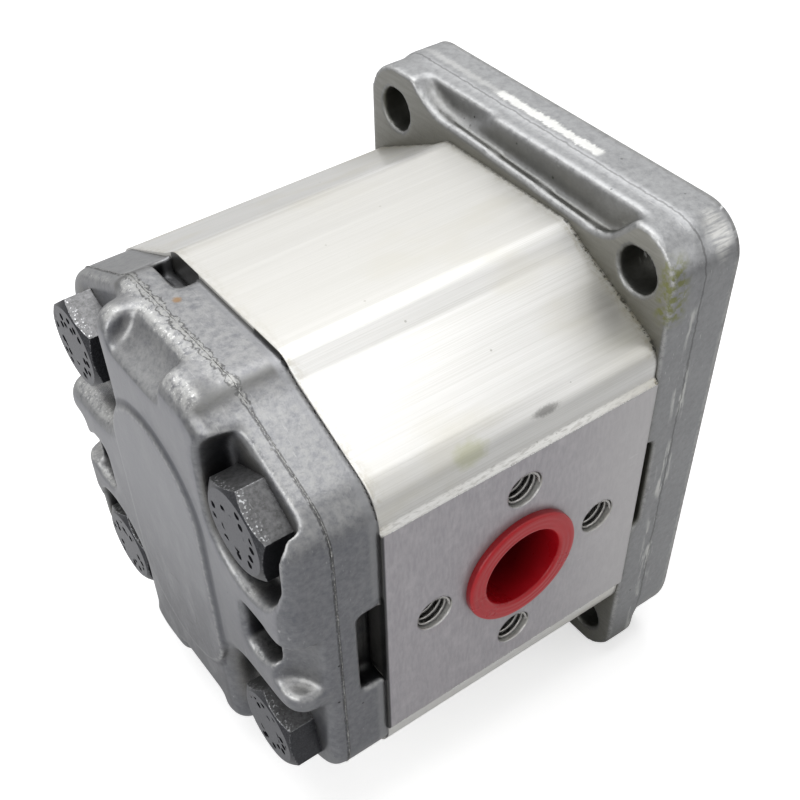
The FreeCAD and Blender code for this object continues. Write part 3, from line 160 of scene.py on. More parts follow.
# Pump body. A length of extruded aluminium bar, nearly white, with the die's fine lines along it.
# The two port pads are milled flat, a shade darker, and the cutter has left a ragged burr on them.
class Finish:
    """A surface built up in layers of colour, gloss and relief. Its places are in millimetres."""

    def __init__(self, name, metal, roughness):
        self.material = bpy.data.materials.new(name)
        self.material.use_nodes = True
        self.tree = self.material.node_tree
        self.shader = self.tree.nodes["Principled BSDF"]
        self.shader.inputs["Metallic"].default_value = metal
        self.shader.inputs["Roughness"].default_value = roughness
        piece = self.node("ShaderNodeTexCoord").outputs
        millimetres = {"Vector": piece["Object"], "Scale": (1000, 1000, 1000)}
        self.place = self.node("ShaderNodeMapping", millimetres).outputs[0]
        self.x, self.y, self.z = self.node("ShaderNodeSeparateXYZ", {0: self.place}).outputs[:3]
        turned = self.node("ShaderNodeSeparateXYZ", {0: piece["Normal"]})
        self.face_x, self.face_y, self.face_z = turned.outputs[:3]
        self.tone = None
        self.normal = None

    def node(self, kind, sockets=None, **settings):
        made = self.tree.nodes.new(kind)
        for name, value in settings.items():
            setattr(made, name, value)
        for name, value in (sockets or {}).items():
            if isinstance(value, bpy.types.NodeSocket):
                self.tree.links.new(value, made.inputs[name])
            else:
                made.inputs[name].default_value = value
        return made

    def sum(self, operation, first, second=0.0, third=0.0):
        return self.node("ShaderNodeMath", {0: first, 1: second, 2: third}, operation=operation).outputs[0]

    def size(self, value):
        return self.sum("ABSOLUTE", value)

    def off(self, value, middle):
        """How far a place is past this one."""
        return self.sum("ADD", value, -middle)

    def reach(self, first, second):
        """The distance that two sides at a right angle span."""
        return self.sum("SQRT", self.sum("ADD", self.both(first, first), self.both(second, second)))

    def but(self, mask):
        """1 where the mask is 0."""
        return self.sum("SUBTRACT", 1.0, mask)

    def rise(self, value, low, high):
        """0 at low and 1 at high, with a soft step between. High may be the smaller number."""
        ends = (low, high, 0.0, 1.0) if low < high else (high, low, 1.0, 0.0)
        step = {"Value": value, **dict(zip(("From Min", "From Max", "To Min", "To Max"), ends))}
        return self.node("ShaderNodeMapRange", step, interpolation_type="SMOOTHSTEP").outputs["Result"]

    def both(self, *masks):
        whole = masks[0]
        for mask in masks[1:]:
            whole = self.sum("MULTIPLY", whole, mask)
        return whole

    def strip(self, value, low, high, soft=0.5):
        """1 between low and high."""
        return self.both(self.rise(value, low - soft, low + soft), self.rise(value, high + soft, high - soft))

    def spot(self, centre, radius, soft=0.5, stretch=(1, 1, 1)):
        """1 round a place on the surface, ragged at its rim."""
        moved = {
            "Vector": self.place,
            "Location": tuple(-c / s for c, s in zip(centre, stretch)),
            "Scale": tuple(1.0 / s for s in stretch),
        }
        near = self.node("ShaderNodeMapping", moved).outputs[0]
        away = self.node("ShaderNodeVectorMath", {0: near}, operation="LENGTH").outputs["Value"]
        ragged = self.sum("MULTIPLY_ADD", self.speckle(radius * 0.6, detail=4.0), radius, away)
        return self.rise(ragged, radius * (1.5 + soft), radius * (1.5 - soft))

    def speckle(self, size, stretch=(1, 1, 1), detail=3.0, shift=0.0, rough=0.55):
        """Cloudy noise with features of about this size, longer along an axis by stretch."""
        spread = {
            "Vector": self.place,
            "Scale": tuple(1.0 / (size * along) for along in stretch),
            "Location": (shift, shift * 1.7, shift * 0.6),
        }
        noise = {
            "Vector": self.node("ShaderNodeMapping", spread).outputs[0],
            "Scale": 1.0,
            "Detail": detail,
            "Roughness": rough,
        }
        return self.node("ShaderNodeTexNoise", noise).outputs["Fac"]

    def pits(self, spacing, radius, share, depth="3D"):
        """Scattered small marks, about one in each cell of this spacing, in this share of the cells.
        Where depth is 2D they run straight in along the pump."""
        spread = self.node("ShaderNodeMapping", {"Vector": self.place, "Scale": (1.0 / spacing,) * 3})
        spread.inputs["Rotation"].default_value = (0.0, math.pi / 2 if depth == "2D" else 0.0, 0.0)
        cells = {"Vector": spread.outputs[0], "Scale": 1.0}
        cell = self.node("ShaderNodeTexVoronoi", cells, voronoi_dimensions=depth).outputs
        picked = self.node("ShaderNodeSeparateColor", {0: cell["Color"]}).outputs[0]
        near = self.rise(cell["Distance"], radius * 1.3 / spacing, radius * 0.8 / spacing)
        return self.both(near, self.rise(picked, share + 0.02, share - 0.02))

    def mix(self, under, over, share):
        blend = self.node("ShaderNodeMix", {0: share}, data_type="RGBA")
        for index, value in ((6, under), (7, over)):
            if isinstance(value, bpy.types.NodeSocket):
                self.tree.links.new(value, blend.inputs[index])
            else:
                blend.inputs[index].default_value = (*value, 1.0)
        return blend.outputs[2]

    def coat(self, over, *masks):
        """Lay a colour over the tone so far, as thick as the masks and shares let it."""
        self.tone = self.mix(self.tone, over, self.both(*masks))

    def relief(self, height, depth):
        """Bumps of this depth in millimetres, on top of those already there."""
        sockets = {"Height": height, "Distance": depth * MM, "Strength": 1.0}
        if self.normal is not None:
            sockets["Normal"] = self.normal
        self.normal = self.node("ShaderNodeBump", sockets).outputs[0]

    def soften(self, radius):
        """Break the sharp edges by this radius."""
        self.normal = self.node("ShaderNodeBevel", {"Radius": radius * MM}, samples=6).outputs[0]

    def rims(self, radius, reach=0.25):
        """1 along edges and 0 elsewhere."""
        near = self.node("ShaderNodeBevel", {"Radius": radius * MM}, samples=6).outputs[0]
        flat = self.node("ShaderNodeNewGeometry").outputs["Normal"]
        turn = self.node("ShaderNodeVectorMath", {0: near, 1: flat}, operation="DOT_PRODUCT")
        return self.rise(turn.outputs["Value"], 1.0, 1.0 - reach)

    def depths(self, reach, open_sky=0.85, shut=0.25):
        """1 deep in hollows no wider than this reach and 0 in the open."""
        sky = self.node("ShaderNodeAmbientOcclusion", {"Distance": reach * MM}, samples=6).outputs["AO"]
        return self.rise(sky, open_sky, shut)

    def done(self, gloss=None, metal=None, shine=None):
        """Join the layers to the shader."""
        layers = {"Base Color": self.tone, "Roughness": gloss, "Metallic": metal, "Normal": self.normal}
        for name, layer in {**layers, "Specular IOR Level": shine}.items():
            if layer is not None:
                self.tree.links.new(layer, self.shader.inputs[name])

    def wear(self, *nodes):
        """Give nodes of the CAD model this surface."""
        for node in nodes:
            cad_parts[node].data.materials.clear()
            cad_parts[node].data.materials.append(self.material)


MIDDLE = -15.5  # height of the pump's middle, half way between the two gears
PORTS_AT = -46.5  # the ports' place along the pump
PAD_FACE = 44.5  # the port pads stand out past this
FLANGE_JOINT, COVER_JOINT = -15.5, -77.5

bar = Finish("extruded_bar", 0.55, 0.34)
bar.soften(0.8)
hair_lines = bar.speckle(0.16, (220, 1, 1), detail=3.0)
die_lines = bar.speckle(1.1, (80, 1, 1), detail=4.0, shift=4.0)
bar.relief(hair_lines, 0.006)
bar.relief(die_lines, 0.012)
bar_side = bar.size(bar.y)
bar_up = bar.rise(bar.face_z, 0.2, 0.5)
bar.tone = bar.mix((0.63, 0.625, 0.60), (0.71, 0.705, 0.69), bar.rise(hair_lines, 0.32, 0.68))
bar.coat((0.76, 0.755, 0.74), bar.rise(die_lines, 0.46, 0.72), 0.5)
bar.coat((0.60, 0.575, 0.49), bar.rise(bar.speckle(12.0, (2, 1, 1)), 0.50, 0.72), 0.45)
# Painted shadow of the flange on the bar's upper faces near it.
flange_shadow = bar.both(
    bar.rise(bar.x, -36.0, -16.0), bar.rise(bar.face_z, 0.1, 0.6), bar.rise(bar_side, 24.0, 33.0)
)
bar.coat((0.40, 0.385, 0.33), flange_shadow, 0.55)
bar.coat((0.42, 0.43, 0.20), bar.spot((-58.1, -43.3, 18.9), 2.2, stretch=(1.5, 1, 1)), 0.45)
bar.coat((0.16, 0.155, 0.15), bar.spot((-41.4, -43.1, 19.4), 0.8, stretch=(3.2, 1, 1)), 0.7)
bar.coat((0.30, 0.29, 0.26), bar.pits(5.0, 0.22, 0.30), 0.6)

on_pad = bar.both(bar.rise(bar_side, PAD_FACE, PAD_FACE + 0.4), bar.rise(bar.size(bar.face_y), 0.90, 0.98))
mill_marks = bar.speckle(0.7, (1, 1, 4), detail=6.0, shift=2.0, rough=0.65)
mill_cloud = bar.speckle(3.2, (1, 1, 1.6), detail=6.0, rough=0.7)
mill_tone = bar.mix((0.355, 0.338, 0.362), (0.415, 0.398, 0.418), bar.rise(mill_marks, 0.35, 0.65))
mill_tone = bar.mix(mill_tone, (0.50, 0.485, 0.50), bar.both(bar.rise(mill_cloud, 0.46, 0.72), 0.55))
mill_tone = bar.mix(mill_tone, (0.56, 0.55, 0.545), bar.both(bar.rise(bar.x, -46.0, -14.0), 0.6))
long_scratch = bar.both(
    bar.rise(bar.speckle(0.30, (18, 1, 3), shift=6.0), 0.70, 0.76),
    bar.rise(bar.speckle(6.0, shift=7.0), 0.48, 0.6),
)
bar.coat(bar.mix(mill_tone, (0.66, 0.65, 0.65), bar.both(long_scratch, 0.6)), on_pad)
pad_step = bar.both(bar.rise(bar_side, 43.7, 43.95), bar.rise(bar.size(bar.face_z), 0.6, 0.7))
bar.coat((0.42, 0.41, 0.39), pad_step, bar.rise(bar.speckle(0.4, (4, 1, 1), detail=5.0), 0.48, 0.66), 0.7)

# The sawn ends show only in the cover's notches, where they are painted black as shade.
sawn_end = bar.rise(bar.size(bar.face_x), 0.9, 0.98)
bar.coat((0.60, 0.59, 0.56), sawn_end)
from_middle = bar.size(bar.off(bar.z, MIDDLE))
top_notch = bar.both(bar.strip(bar_side, 9.3, 19.9, 0.2), bar.rise(from_middle, 41.5, 43.0))
side_notch = bar.both(bar.rise(from_middle, 12.4, 11.6), bar.rise(bar_side, 37.0, 38.0))
notches = bar.sum("MAXIMUM", top_notch, side_notch)
bar.coat((0.035, 0.034, 0.032), sawn_end, bar.rise(bar.x, -76.0, -77.0), notches, 0.95)
# Painted shade in the bar's corners and creases.
bar.coat((0.10, 0.095, 0.085), bar.depths(2.2), 0.20)
# Painted shadow in the gap beside each port pad, at the cover's end, where the pad stands out past the cover.
port_gap_shadow = bar.both(
    bar.rise(bar_side, 42.8, 43.8), bar.rise(bar.x, -76.9, -77.3), bar.rise(bar.z, 13.5, 12.5)
)
bar.coat((0.012, 0.012, 0.014), port_gap_shadow, 0.9)

# Old dirt lies along both joints, and in dots in the flange's.
joint_dirt = bar.sum(
    "MAXIMUM", bar.rise(bar.x, -18.5, FLANGE_JOINT - 0.1), bar.both(bar.rise(bar.x, -74.5, -77.4), 0.6)
)
dirt_grain = bar.rise(bar.speckle(1.0, (1, 2, 1), detail=6.0, rough=0.7, shift=2.5), 0.40, 0.66)
bar.coat((0.33, 0.29, 0.19), joint_dirt, dirt_grain, bar_up, 0.6)
joint_dots = bar.rise(bar.speckle(0.7, detail=3.0, shift=8.0), 0.50, 0.58)
bar.coat((0.05, 0.05, 0.045), bar.rise(bar.x, -16.3, -15.9), joint_dots, bar_up, 0.8)
# Painted shade: the flat top of the crown a little darker than its sloping sides.
crown_flat_shade = bar.both(bar.rise(bar.face_z, 0.985, 0.997), bar.rise(bar.z, 33.0, 33.3))
bar.coat((0.53, 0.52, 0.485), crown_flat_shade, 0.5)
bar.done(bar.sum("MULTIPLY_ADD", on_pad, 0.05, bar.sum("MULTIPLY_ADD", die_lines, 0.20, 0.24)))
bar.wear("pump_body")


def hands_over(mesh, name, body, material=None):
    """Make a finished mesh a piece of the pump, on the body that carries it."""
    piece = bpy.data.objects.new(name, mesh)
    scene.collection.objects.link(piece)
    if material is not None:
        mesh.materials.clear()
        mesh.materials.append(material)
    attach(piece, body)
    return piece


def grown(tree, shape, **sizes):
    """The mesh that a tree of geometry nodes grows on a shape, with the tree's sizes set by name."""
    base = bpy.data.objects.new("base", shape)
    scene.collection.objects.link(base)
    grower = base.modifiers.new("grower", "NODES")
    grower.node_group = tree
    for socket in tree.interface.items_tree:
        if socket.in_out == "INPUT" and socket.name in sizes:
            grower[socket.identifier] = sizes[socket.name]
    mesh = bpy.data.meshes.new_from_object(base.evaluated_get(bpy.context.evaluated_depsgraph_get()))
    base.modifiers.remove(grower)
    bpy.data.objects.remove(base)
    return mesh


def new_tree(name, **inputs):
    """An empty tree of geometry nodes with named inputs, and short ways to add and link its nodes."""
    tree = bpy.data.node_groups.new(name, "GeometryNodeTree")
    tree.interface.new_socket(name="Geometry", in_out="INPUT", socket_type="NodeSocketGeometry")
    for label, kind in inputs.items():
        tree.interface.new_socket(name=label, in_out="INPUT", socket_type="NodeSocket" + kind)
    tree.interface.new_socket(name="Geometry", in_out="OUTPUT", socket_type="NodeSocketGeometry")
    given = tree.nodes.new("NodeGroupInput").outputs

    def add(kind, sockets=None, **settings):
        made = tree.nodes.new(kind)
        for label, value in settings.items():
            setattr(made, label, value)
        for label, value in (sockets or {}).items():
            if isinstance(value, bpy.types.NodeSocket):
                tree.links.new(value, made.inputs[label])
            else:
                made.inputs[label].default_value = value
        return made

    def ends(grown_shape):
        """Make what has grown real, coat it and hand it out of the tree."""
        real = add("GeometryNodeRealizeInstances", {0: grown_shape})
        coated = add("GeometryNodeSetMaterial", {"Geometry": real.outputs[0], "Material": given["Finish"]})
        add("NodeGroupOutput", {0: coated.outputs[0]})

    return tree, add, given, ends


# The burr is a crumbling ridge along the pads' long edges. The tree grows any such ridge along a line.
ridge_tree, add, given, ends = new_tree(
    "ragged_ridge", Step="Float", Radius="Float", Raggedness="Float", Seed="Float", Finish="Material"
)
along = add("GeometryNodeMeshToCurve", {"Mesh": given["Geometry"]})
points = add("GeometryNodeResampleCurve", {"Curve": along.outputs[0], "Length": given["Step"]}, mode="LENGTH")
wander = add(
    "ShaderNodeTexNoise",
    {"W": given["Seed"], "Scale": 330.0, "Detail": 5.0, "Roughness": 0.7},
    noise_dimensions="4D",
)
centred = add(
    "ShaderNodeVectorMath", {0: wander.outputs["Color"], 1: (0.5, 0.5, 0.5)}, operation="SUBTRACT"
)
shaken = add("ShaderNodeVectorMath", {0: centred.outputs[0], "Scale": given["Raggedness"]}, operation="SCALE")
loose = add("GeometryNodeSetPosition", {"Geometry": points.outputs[0], "Offset": shaken.outputs[0]})
swell = add(
    "ShaderNodeTexNoise",
    {"W": given["Seed"], "Scale": 420.0, "Detail": 5.0, "Roughness": 0.75},
    noise_dimensions="4D",
)
swell_range = add(
    "ShaderNodeMapRange",
    {"Value": swell.outputs["Fac"], "From Min": 0.36, "From Max": 0.66, "To Min": 0.05, "To Max": 1.25},
)
ring = add("GeometryNodeCurvePrimitiveCircle", {"Resolution": 5, "Radius": given["Radius"]})
ridge = {"Curve": loose.outputs[0], "Profile Curve": ring.outputs[0], "Scale": swell_range.outputs[0]}
ends(add("GeometryNodeCurveToMesh", {**ridge, "Fill Caps": True}).outputs[0])

torn = Finish("torn_aluminium", 0.7, 0.32)
torn_grain = torn.speckle(0.3, detail=3.0)
torn.relief(torn_grain, 0.03)
torn.tone = torn.mix((0.30, 0.30, 0.29), (0.80, 0.80, 0.78), torn.rise(torn_grain, 0.38, 0.60))
torn.done(torn_grain)

body_low, body_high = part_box("pump_body")
pad_top, pad_foot = 12.9 * MM, -43.9 * MM
burr_sunk, burr_short = 0.02 * MM, 0.3 * MM
pad_lines = bpy.data.meshes.new("pad_edges")
pad_ends = []
for side in (body_low[1] + burr_sunk, body_high[1] - burr_sunk):
    for level in (pad_top, pad_foot):
        pad_ends += [(body_low[0] + burr_short, side, level), (body_high[0] - burr_short, side, level)]
pad_lines.from_pydata(pad_ends, [(first, first + 1) for first in range(0, len(pad_ends), 2)], [])
pad_burr = grown(
    ridge_tree, pad_lines,
    Step=0.3 * MM, Radius=0.085 * MM, Raggedness=0.16 * MM, Seed=3.0, Finish=torn.material,
)
hands_over(pad_burr, "port_pad_burr", "housing")

# Screw threads in the port pads. Four M8 holes round the inlet and four M6 round the outlet, tapped
# into the plain bores; each thread is one helical ridge on the bore's wall.
thread_tree, add, given, ends = new_tree(
    "screw_thread",
    Radius="Float", Pitch="Float", Height="Float", Turns="Float",
    Crest_Turn="Vector", Axis_Turn="Vector", Finish="Material",
)


def times(first, second):
    return add("ShaderNodeMath", {0: first, 1: second}, operation="MULTIPLY").outputs[0]


rod = add(
    "GeometryNodeCurveSpiral",
    {
        "Resolution": 20, "Rotations": given["Turns"], "Start Radius": given["Radius"],
        "End Radius": given["Radius"], "Height": times(given["Turns"], given["Pitch"]),
    },
)
upright = add("GeometryNodeSetCurveNormal", {"Curve": rod.outputs[0]}, mode="Z_UP")
foot_share, crest_share = 0.86, 0.14
tooth = add(
    "GeometryNodeCurvePrimitiveQuadrilateral",
    {
        "Height": given["Height"], "Bottom Width": times(given["Pitch"], foot_share),
        "Top Width": times(given["Pitch"], crest_share), "Offset": 0.0,
    },
    mode="TRAPEZOID",
)
tooth_turned = add("GeometryNodeTransform", {"Geometry": tooth.outputs[0], "Rotation": given["Crest_Turn"]})
flight = add(
    "GeometryNodeCurveToMesh",
    {"Curve": upright.outputs[0], "Profile Curve": tooth_turned.outputs[0], "Fill Caps": True},
)
placed = {"Points": given["Geometry"], "Instance": flight.outputs[0], "Rotation": given["Axis_Turn"]}
ends(add("GeometryNodeInstanceOnPoints", placed).outputs[0])

cut_thread = Finish("cut_thread", 0.75, 0.24)
cut_grain = cut_thread.speckle(0.4, detail=3.0)
cut_thread.relief(cut_grain, 0.02)
cut_thread.tone = cut_thread.mix((0.36, 0.345, 0.33), (0.58, 0.57, 0.55), cut_grain)
# Painted shade where the thread lies deep in the hole and between its turns.
cut_thread.coat((0.05, 0.05, 0.05), cut_thread.depths(5.0, 0.85, 0.35), 0.9)
cut_thread.done()

THREADED = 9.0  # turns of thread in a hole
for port, circle, bore, core, pitch, side in (
    ("inlet", 20.0, 4.02, 3.35, 1.25, -1),
    ("outlet", 17.5, 3.02, 2.48, 1.0, 1),
):
    mouths = bpy.data.meshes.new(port + "_mouths")
    mouths.from_pydata(
        [
            ((circle * x + PORTS_AT) * MM, side * PAD_FACE * MM, (circle * z + MIDDLE) * MM)
            for x, z in ((0, 1), (1, 0), (0, -1), (-1, 0))
        ],
        [],
        [],
    )
    threads = grown(
        thread_tree, mouths,
        Radius=(bore + core) / 2 * MM, Pitch=pitch * MM, Height=(bore - core) * MM, Turns=THREADED,
        Crest_Turn=(0, 0, math.pi / 2), Axis_Turn=(side * math.pi / 2, 0, 0), Finish=cut_thread.material,
    )
    hands_over(threads, port + "_screw_threads", "housing")

# Rear cover. Die-cast aluminium, dull blue-grey as it left the die, with soft edges, a fine grain,
# painted highlight and glints on its shoulders, painted shade in its wells, and a crumbly flash where the die
# halves met.
def cast_copy(node, grain, flat_at, rounds):
    """The mesh of a casting as it leaves the die: its solid's shape with the free edges run soft.
    The face at flat_at stays flat, and the walls that meet it stay crisp there."""
    shell = bmesh.new()
    shell.from_mesh(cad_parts[node].data)
    bmesh.ops.remove_doubles(shell, verts=shell.verts, dist=1e-6)
    shell.verts.index_update()
    shell_mesh = bpy.data.meshes.new(node + "_shell")
    shell.to_mesh(shell_mesh)
    sides = [[vert.index for vert in face.verts] for face in shell.faces if abs(face.normal.x) < 0.5]
    walls = BVHTree.FromPolygons([vert.co.copy() for vert in shell.verts], sides)
    shell.free()
    holder = bpy.data.objects.new(node + "_shell", shell_mesh)
    scene.collection.objects.link(holder)
    cells = holder.modifiers.new("cells", "REMESH")
    cells.mode = "VOXEL"
    cells.voxel_size = grain * MM
    cells.use_smooth_shade = True
    mesh = bpy.data.meshes.new_from_object(holder.evaluated_get(bpy.context.evaluated_depsgraph_get()))
    bpy.data.objects.remove(holder)
    skin = bmesh.new()
    skin.from_mesh(mesh)
    wanted = [rounds(vert.co / MM) for vert in skin.verts]
    for turn in range(max(wanted)):
        loose = [vert for vert, count in zip(skin.verts, wanted) if count > turn]
        bmesh.ops.smooth_vert(skin, verts=loose, factor=0.5, use_axis_x=True, use_axis_y=True, use_axis_z=True)
    low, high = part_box(node)
    half_cell, whole_cell = 0.55 * grain * MM, 1.1 * grain * MM
    for vert in skin.verts:
        if abs(vert.co.x - flat_at * MM) < half_cell:
            vert.co.x = flat_at * MM
        if abs(vert.co.x - flat_at * MM) < whole_cell:
            wall, _, _, away = walls.find_nearest(vert.co)
            if away < half_cell:
                vert.co.y, vert.co.z = wall.y, wall.z
        for axis in range(3):
            vert.co[axis] = min(max(vert.co[axis], low[axis]), high[axis])
    bmesh.ops.remove_doubles(skin, verts=skin.verts, dist=0.01 * MM)
    skin.to_mesh(mesh)
    skin.free()
    return mesh


def cast_skin(name, dark, light, rubbed_and_highlight, shift):
    """The skin of a die casting: mottled and finely grained, with painted shade in its hollows and creases, and
    rims lightened partly by wear and partly as painted highlight.
    """
    skin = Finish(name, 0.80, 0.36)
    skin.soften(0.4)
    skin.grit = skin.speckle(0.45, detail=3.0, shift=shift)
    skin.mottle = skin.speckle(1.3, detail=5.0, shift=shift, rough=0.7)
    skin.gloss = skin.sum("MULTIPLY_ADD", skin.mottle, 0.22, 0.26)
    skin.relief(skin.speckle(2.6, detail=3.0, shift=shift + 3.0), 0.07)
    skin.relief(skin.grit, 0.030)
    cloud = skin.speckle(11.0, detail=3.0, shift=shift)
    share = skin.sum("MULTIPLY_ADD", skin.mottle, 0.75, skin.both(cloud, 0.25))
    skin.tone = skin.mix(dark, light, skin.rise(share, 0.30, 0.70))
    # The rims are lightened, partly as rubbed wear and partly as painted highlight.
    rim_grain = skin.rise(skin.speckle(0.9, detail=4.0, shift=shift), 0.36, 0.62)
    skin.coat(rubbed_and_highlight, skin.both(skin.rims(1.1), rim_grain), 0.8)
    # Convex places are lightened the same way, partly wear and partly painted highlight.
    bend = skin.node("ShaderNodeNewGeometry").outputs["Pointiness"]
    skin.coat(rubbed_and_highlight, skin.both(skin.rise(bend, 0.512, 0.560), skin.rise(skin.mottle, 0.30, 0.60)), 0.55)
    # Painted shade in the creases.
    skin.coat((0.07, 0.068, 0.058), skin.rise(bend, 0.488, 0.440), 0.6)
    scratch = skin.both(
        skin.rise(skin.speckle(0.35, (1, 14, 5), detail=2.0, shift=shift), 0.66, 0.74),
        skin.rise(skin.speckle(7.0, shift=shift + 1.0), 0.45, 0.6),
    )
    skin.coat(rubbed_and_highlight, scratch, 0.35)
    # Brownish painted shade in the hollows.
    skin.coat((0.30, 0.285, 0.235), skin.depths(10.0, 0.95, 0.50), skin.rise(cloud, 0.35, 0.6), 0.55)
    # Painted shade, near black, deep in the wells and hollows.
    skin.coat((0.012, 0.012, 0.015), skin.depths(14.0, 0.78, 0.36), 0.95)
    skin.coat((0.03, 0.03, 0.03), skin.pits(4.2, 0.26, 0.35))
    return skin


cover = cast_skin("cover_casting", (0.130, 0.134, 0.150), (0.215, 0.219, 0.229), (0.60, 0.60, 0.59), 0.0)
cover_side = cover.size(cover.y)
# Painted light: the upward faces lighter, but not in deep places.
cover_top_light = cover.rise(cover.face_z, 0.15, 0.55)
open_sky = cover.rise(cover.depths(9.0), 0.5, 0.1)
cover.coat((0.33, 0.33, 0.325), cover_top_light, cover.rise(cover.mottle, 0.1, 0.8), open_sky, 0.75)
# Painted shade: dark patches along the crown's edge.
for place, radius, share in (
    ((-92.2, -17.4, 32.0), 2.2, 0.65),
    ((-94.5, -19.5, 28.0), 1.6, 0.55),
    ((-92.0, 18.0, 31.0), 1.6, 0.4),
):
    cover.coat((0.055, 0.055, 0.054), cover.spot(place, radius, 0.95, (1.5, 1.2, 1.0)), share)

# The shoulders round the end face get a painted highlight and painted glints, but not inside the scallops.
facing_both = cover.sum("MULTIPLY_ADD", cover.face_z, 0.86, cover.sum("MULTIPLY", cover.face_x, -0.5))
in_scallop = cover.both(cover.rise(cover_side, 14.5, 12.5), cover.rise(cover.z, 31.4, 30.2))
shoulder_highlight = cover.both(
    cover.rise(facing_both, 0.87, 0.97),
    cover.rise(cover.x, -84.0, -88.0),
    cover.rise(cover.depths(7.0, 0.98, 0.60), 0.35, 0.05),
    cover.but(in_scallop),
)
cover.coat((0.56, 0.56, 0.545), shoulder_highlight, cover.rise(cover.mottle, 0.28, 0.62), 0.5)
glints = cover.rise(cover.speckle(0.5, detail=4.0, shift=11.0), 0.60, 0.66)
cover.coat((0.86, 0.86, 0.85), shoulder_highlight, glints, 0.5)
# Painted shade: a dark band along the crown's edge.
crown_edge_shade = cover.both(cover.strip(cover_side, 18.0, 20.2, 1.2), cover.rise(cover.z, 29.6, 31.0))
cover.coat((0.095, 0.095, 0.092), crown_edge_shade, cover.rise(cover.mottle, 0.1, 0.5), 0.85)

end_face = cover.both(cover.rise(cover.face_x, -0.93, -0.985), cover.rise(cover.x, -94.5, -95.5))
end_tone = cover.mix((0.232, 0.234, 0.254), (0.272, 0.274, 0.292), cover.rise(cover.mottle, 0.34, 0.66))
end_scratch = cover.rise(cover.speckle(0.3, (1, 3, 12), shift=4.0), 0.68, 0.74)
end_smear = cover.rise(cover.speckle(5.0, (1, 1, 2.5), detail=4.0, shift=6.0), 0.44, 0.70)
# Painted shade darkens the end face towards the bottom; scratches, pits and a smear are laid over it.
for over, share in (
    ((0.105, 0.106, 0.115), cover.both(cover.rise(cover.z, 6.0, -50.0), 0.95)),
    ((0.40, 0.40, 0.40), cover.both(end_scratch, 0.4)),
    ((0.03, 0.03, 0.03), cover.both(cover.pits(4.6, 0.24, 0.45), 0.9)),
    ((0.30, 0.30, 0.315), cover.both(end_smear, 0.5)),
):
    end_tone = cover.mix(end_tone, over, share)
cover.coat(end_tone, end_face, cover.rise(cover.depths(5.0, 0.80, 0.40), 0.3, 0.0), 0.85)

# The raised pad is a racetrack about the gears' two axes, with painted shade in the groove at its foot and a
# painted highlight on its rim.
GEAR_DROP = 31.0  # the driven gear's axis is this far below the drive gear's
past_axes = cover.sum("MAXIMUM", cover.sum("MAXIMUM", cover.z, cover.sum("SUBTRACT", -GEAR_DROP, cover.z)), 0.0)
pad_away = cover.reach(cover.y, past_axes)
# Painted shade in the groove at the pad's foot.
pad_foot_line = cover.both(cover.strip(pad_away, 16.3, 17.6, 0.4), cover.rise(cover.x, -95.9, -96.2))
cover.coat((0.070, 0.073, 0.085), pad_foot_line, 0.7)
pin_ring = cover.strip(cover.reach(cover.y, cover.off(cover.z, -33.0)), 6.0, 6.3, 0.25)
pin_worn = cover.rise(cover.speckle(4.0, shift=3.0), 0.40, 0.55)
cover.coat((0.07, 0.07, 0.07), cover.rise(cover.x, -97.0, -97.3), pin_ring, pin_worn, 0.7)
# Painted highlight along the pad's rim.
pad_rim_line = cover.both(cover.strip(pad_away, 15.3, 15.9, 0.3), cover.rise(cover.x, -96.9, -97.2))
cover.coat((0.42, 0.42, 0.42), pad_rim_line, cover.rise(cover.mottle, 0.4, 0.6), 0.5)

# The parting line wavers along the crown, where it is filled and wide, and runs straight elsewhere.
PARTING = -86.8
round_side = cover.rise(cover.size(cover.face_x), 0.6, 0.3)
on_crown = cover.rise(cover.z, 29.0, 32.0)
waver = cover.sum("MULTIPLY_ADD", cover.speckle(1.3, detail=3.0, shift=9.0), 1.3, -0.65)
waver = cover.both(waver, cover.sum("MULTIPLY_ADD", on_crown, 0.8, 0.2))
from_parting = cover.size(cover.sum("ADD", cover.off(cover.x, PARTING), waver))
widened = cover.both(on_crown, cover.rise(cover.speckle(3.0, shift=5.0), 0.35, 0.6))
from_seam = cover.sum("SUBTRACT", from_parting, cover.sum("MULTIPLY_ADD", widened, 0.8, 0.2))
seam_fill = cover.both(cover.rise(from_seam, 0.1, -0.1), round_side, on_crown)
cover.coat((0.36, 0.36, 0.34), seam_fill, cover.rise(cover.grit, 0.35, 0.6), 0.6)
seam_line = cover.both(cover.rise(cover.size(from_seam), 0.28, 0.08), round_side)
cover.coat((0.055, 0.055, 0.055), seam_line, cover.rise(cover.speckle(0.8, shift=2.0), 0.36, 0.5), 0.75)
cover.coat((0.26, 0.15, 0.06), cover.spot((-83.7, 6.0, 32.9), 0.75), 0.8)

# At the joint the skin is painted back to a plain mottled tone over the painted shade of the hollows, apart
# from the notch beside each port.
joint_edge = cover.both(cover.rise(cover.x, -80.0, -79.0), cover.rise(cover.size(cover.face_x), 0.9, 0.6))
in_notch = cover.both(
    cover.rise(cover.size(cover.off(cover.z, MIDDLE)), 13.0, 12.0), cover.rise(cover_side, 30.0, 32.0)
)
unshaded_tone = cover.mix((0.19, 0.193, 0.203), (0.30, 0.302, 0.31), cover.mottle)
cover.coat(unshaded_tone, cover.both(joint_edge, cover.but(in_notch)), 0.9)
cover.done(cover.gloss)


def cover_rounds(place):
    """The raised pad's rim stays crisp, the joint face stays flat, and the wells' mouths run softest."""
    if place.x > COVER_JOINT - 0.8:
        return 0
    from_pad = math.hypot(place.y, max(place.z, -GEAR_DROP - place.z, 0.0))
    if place.x < -95.6 and abs(from_pad - 16.2) < 2.0:
        return 2
    return 16 if place.x < -86.0 and from_pad > 19.0 else 8


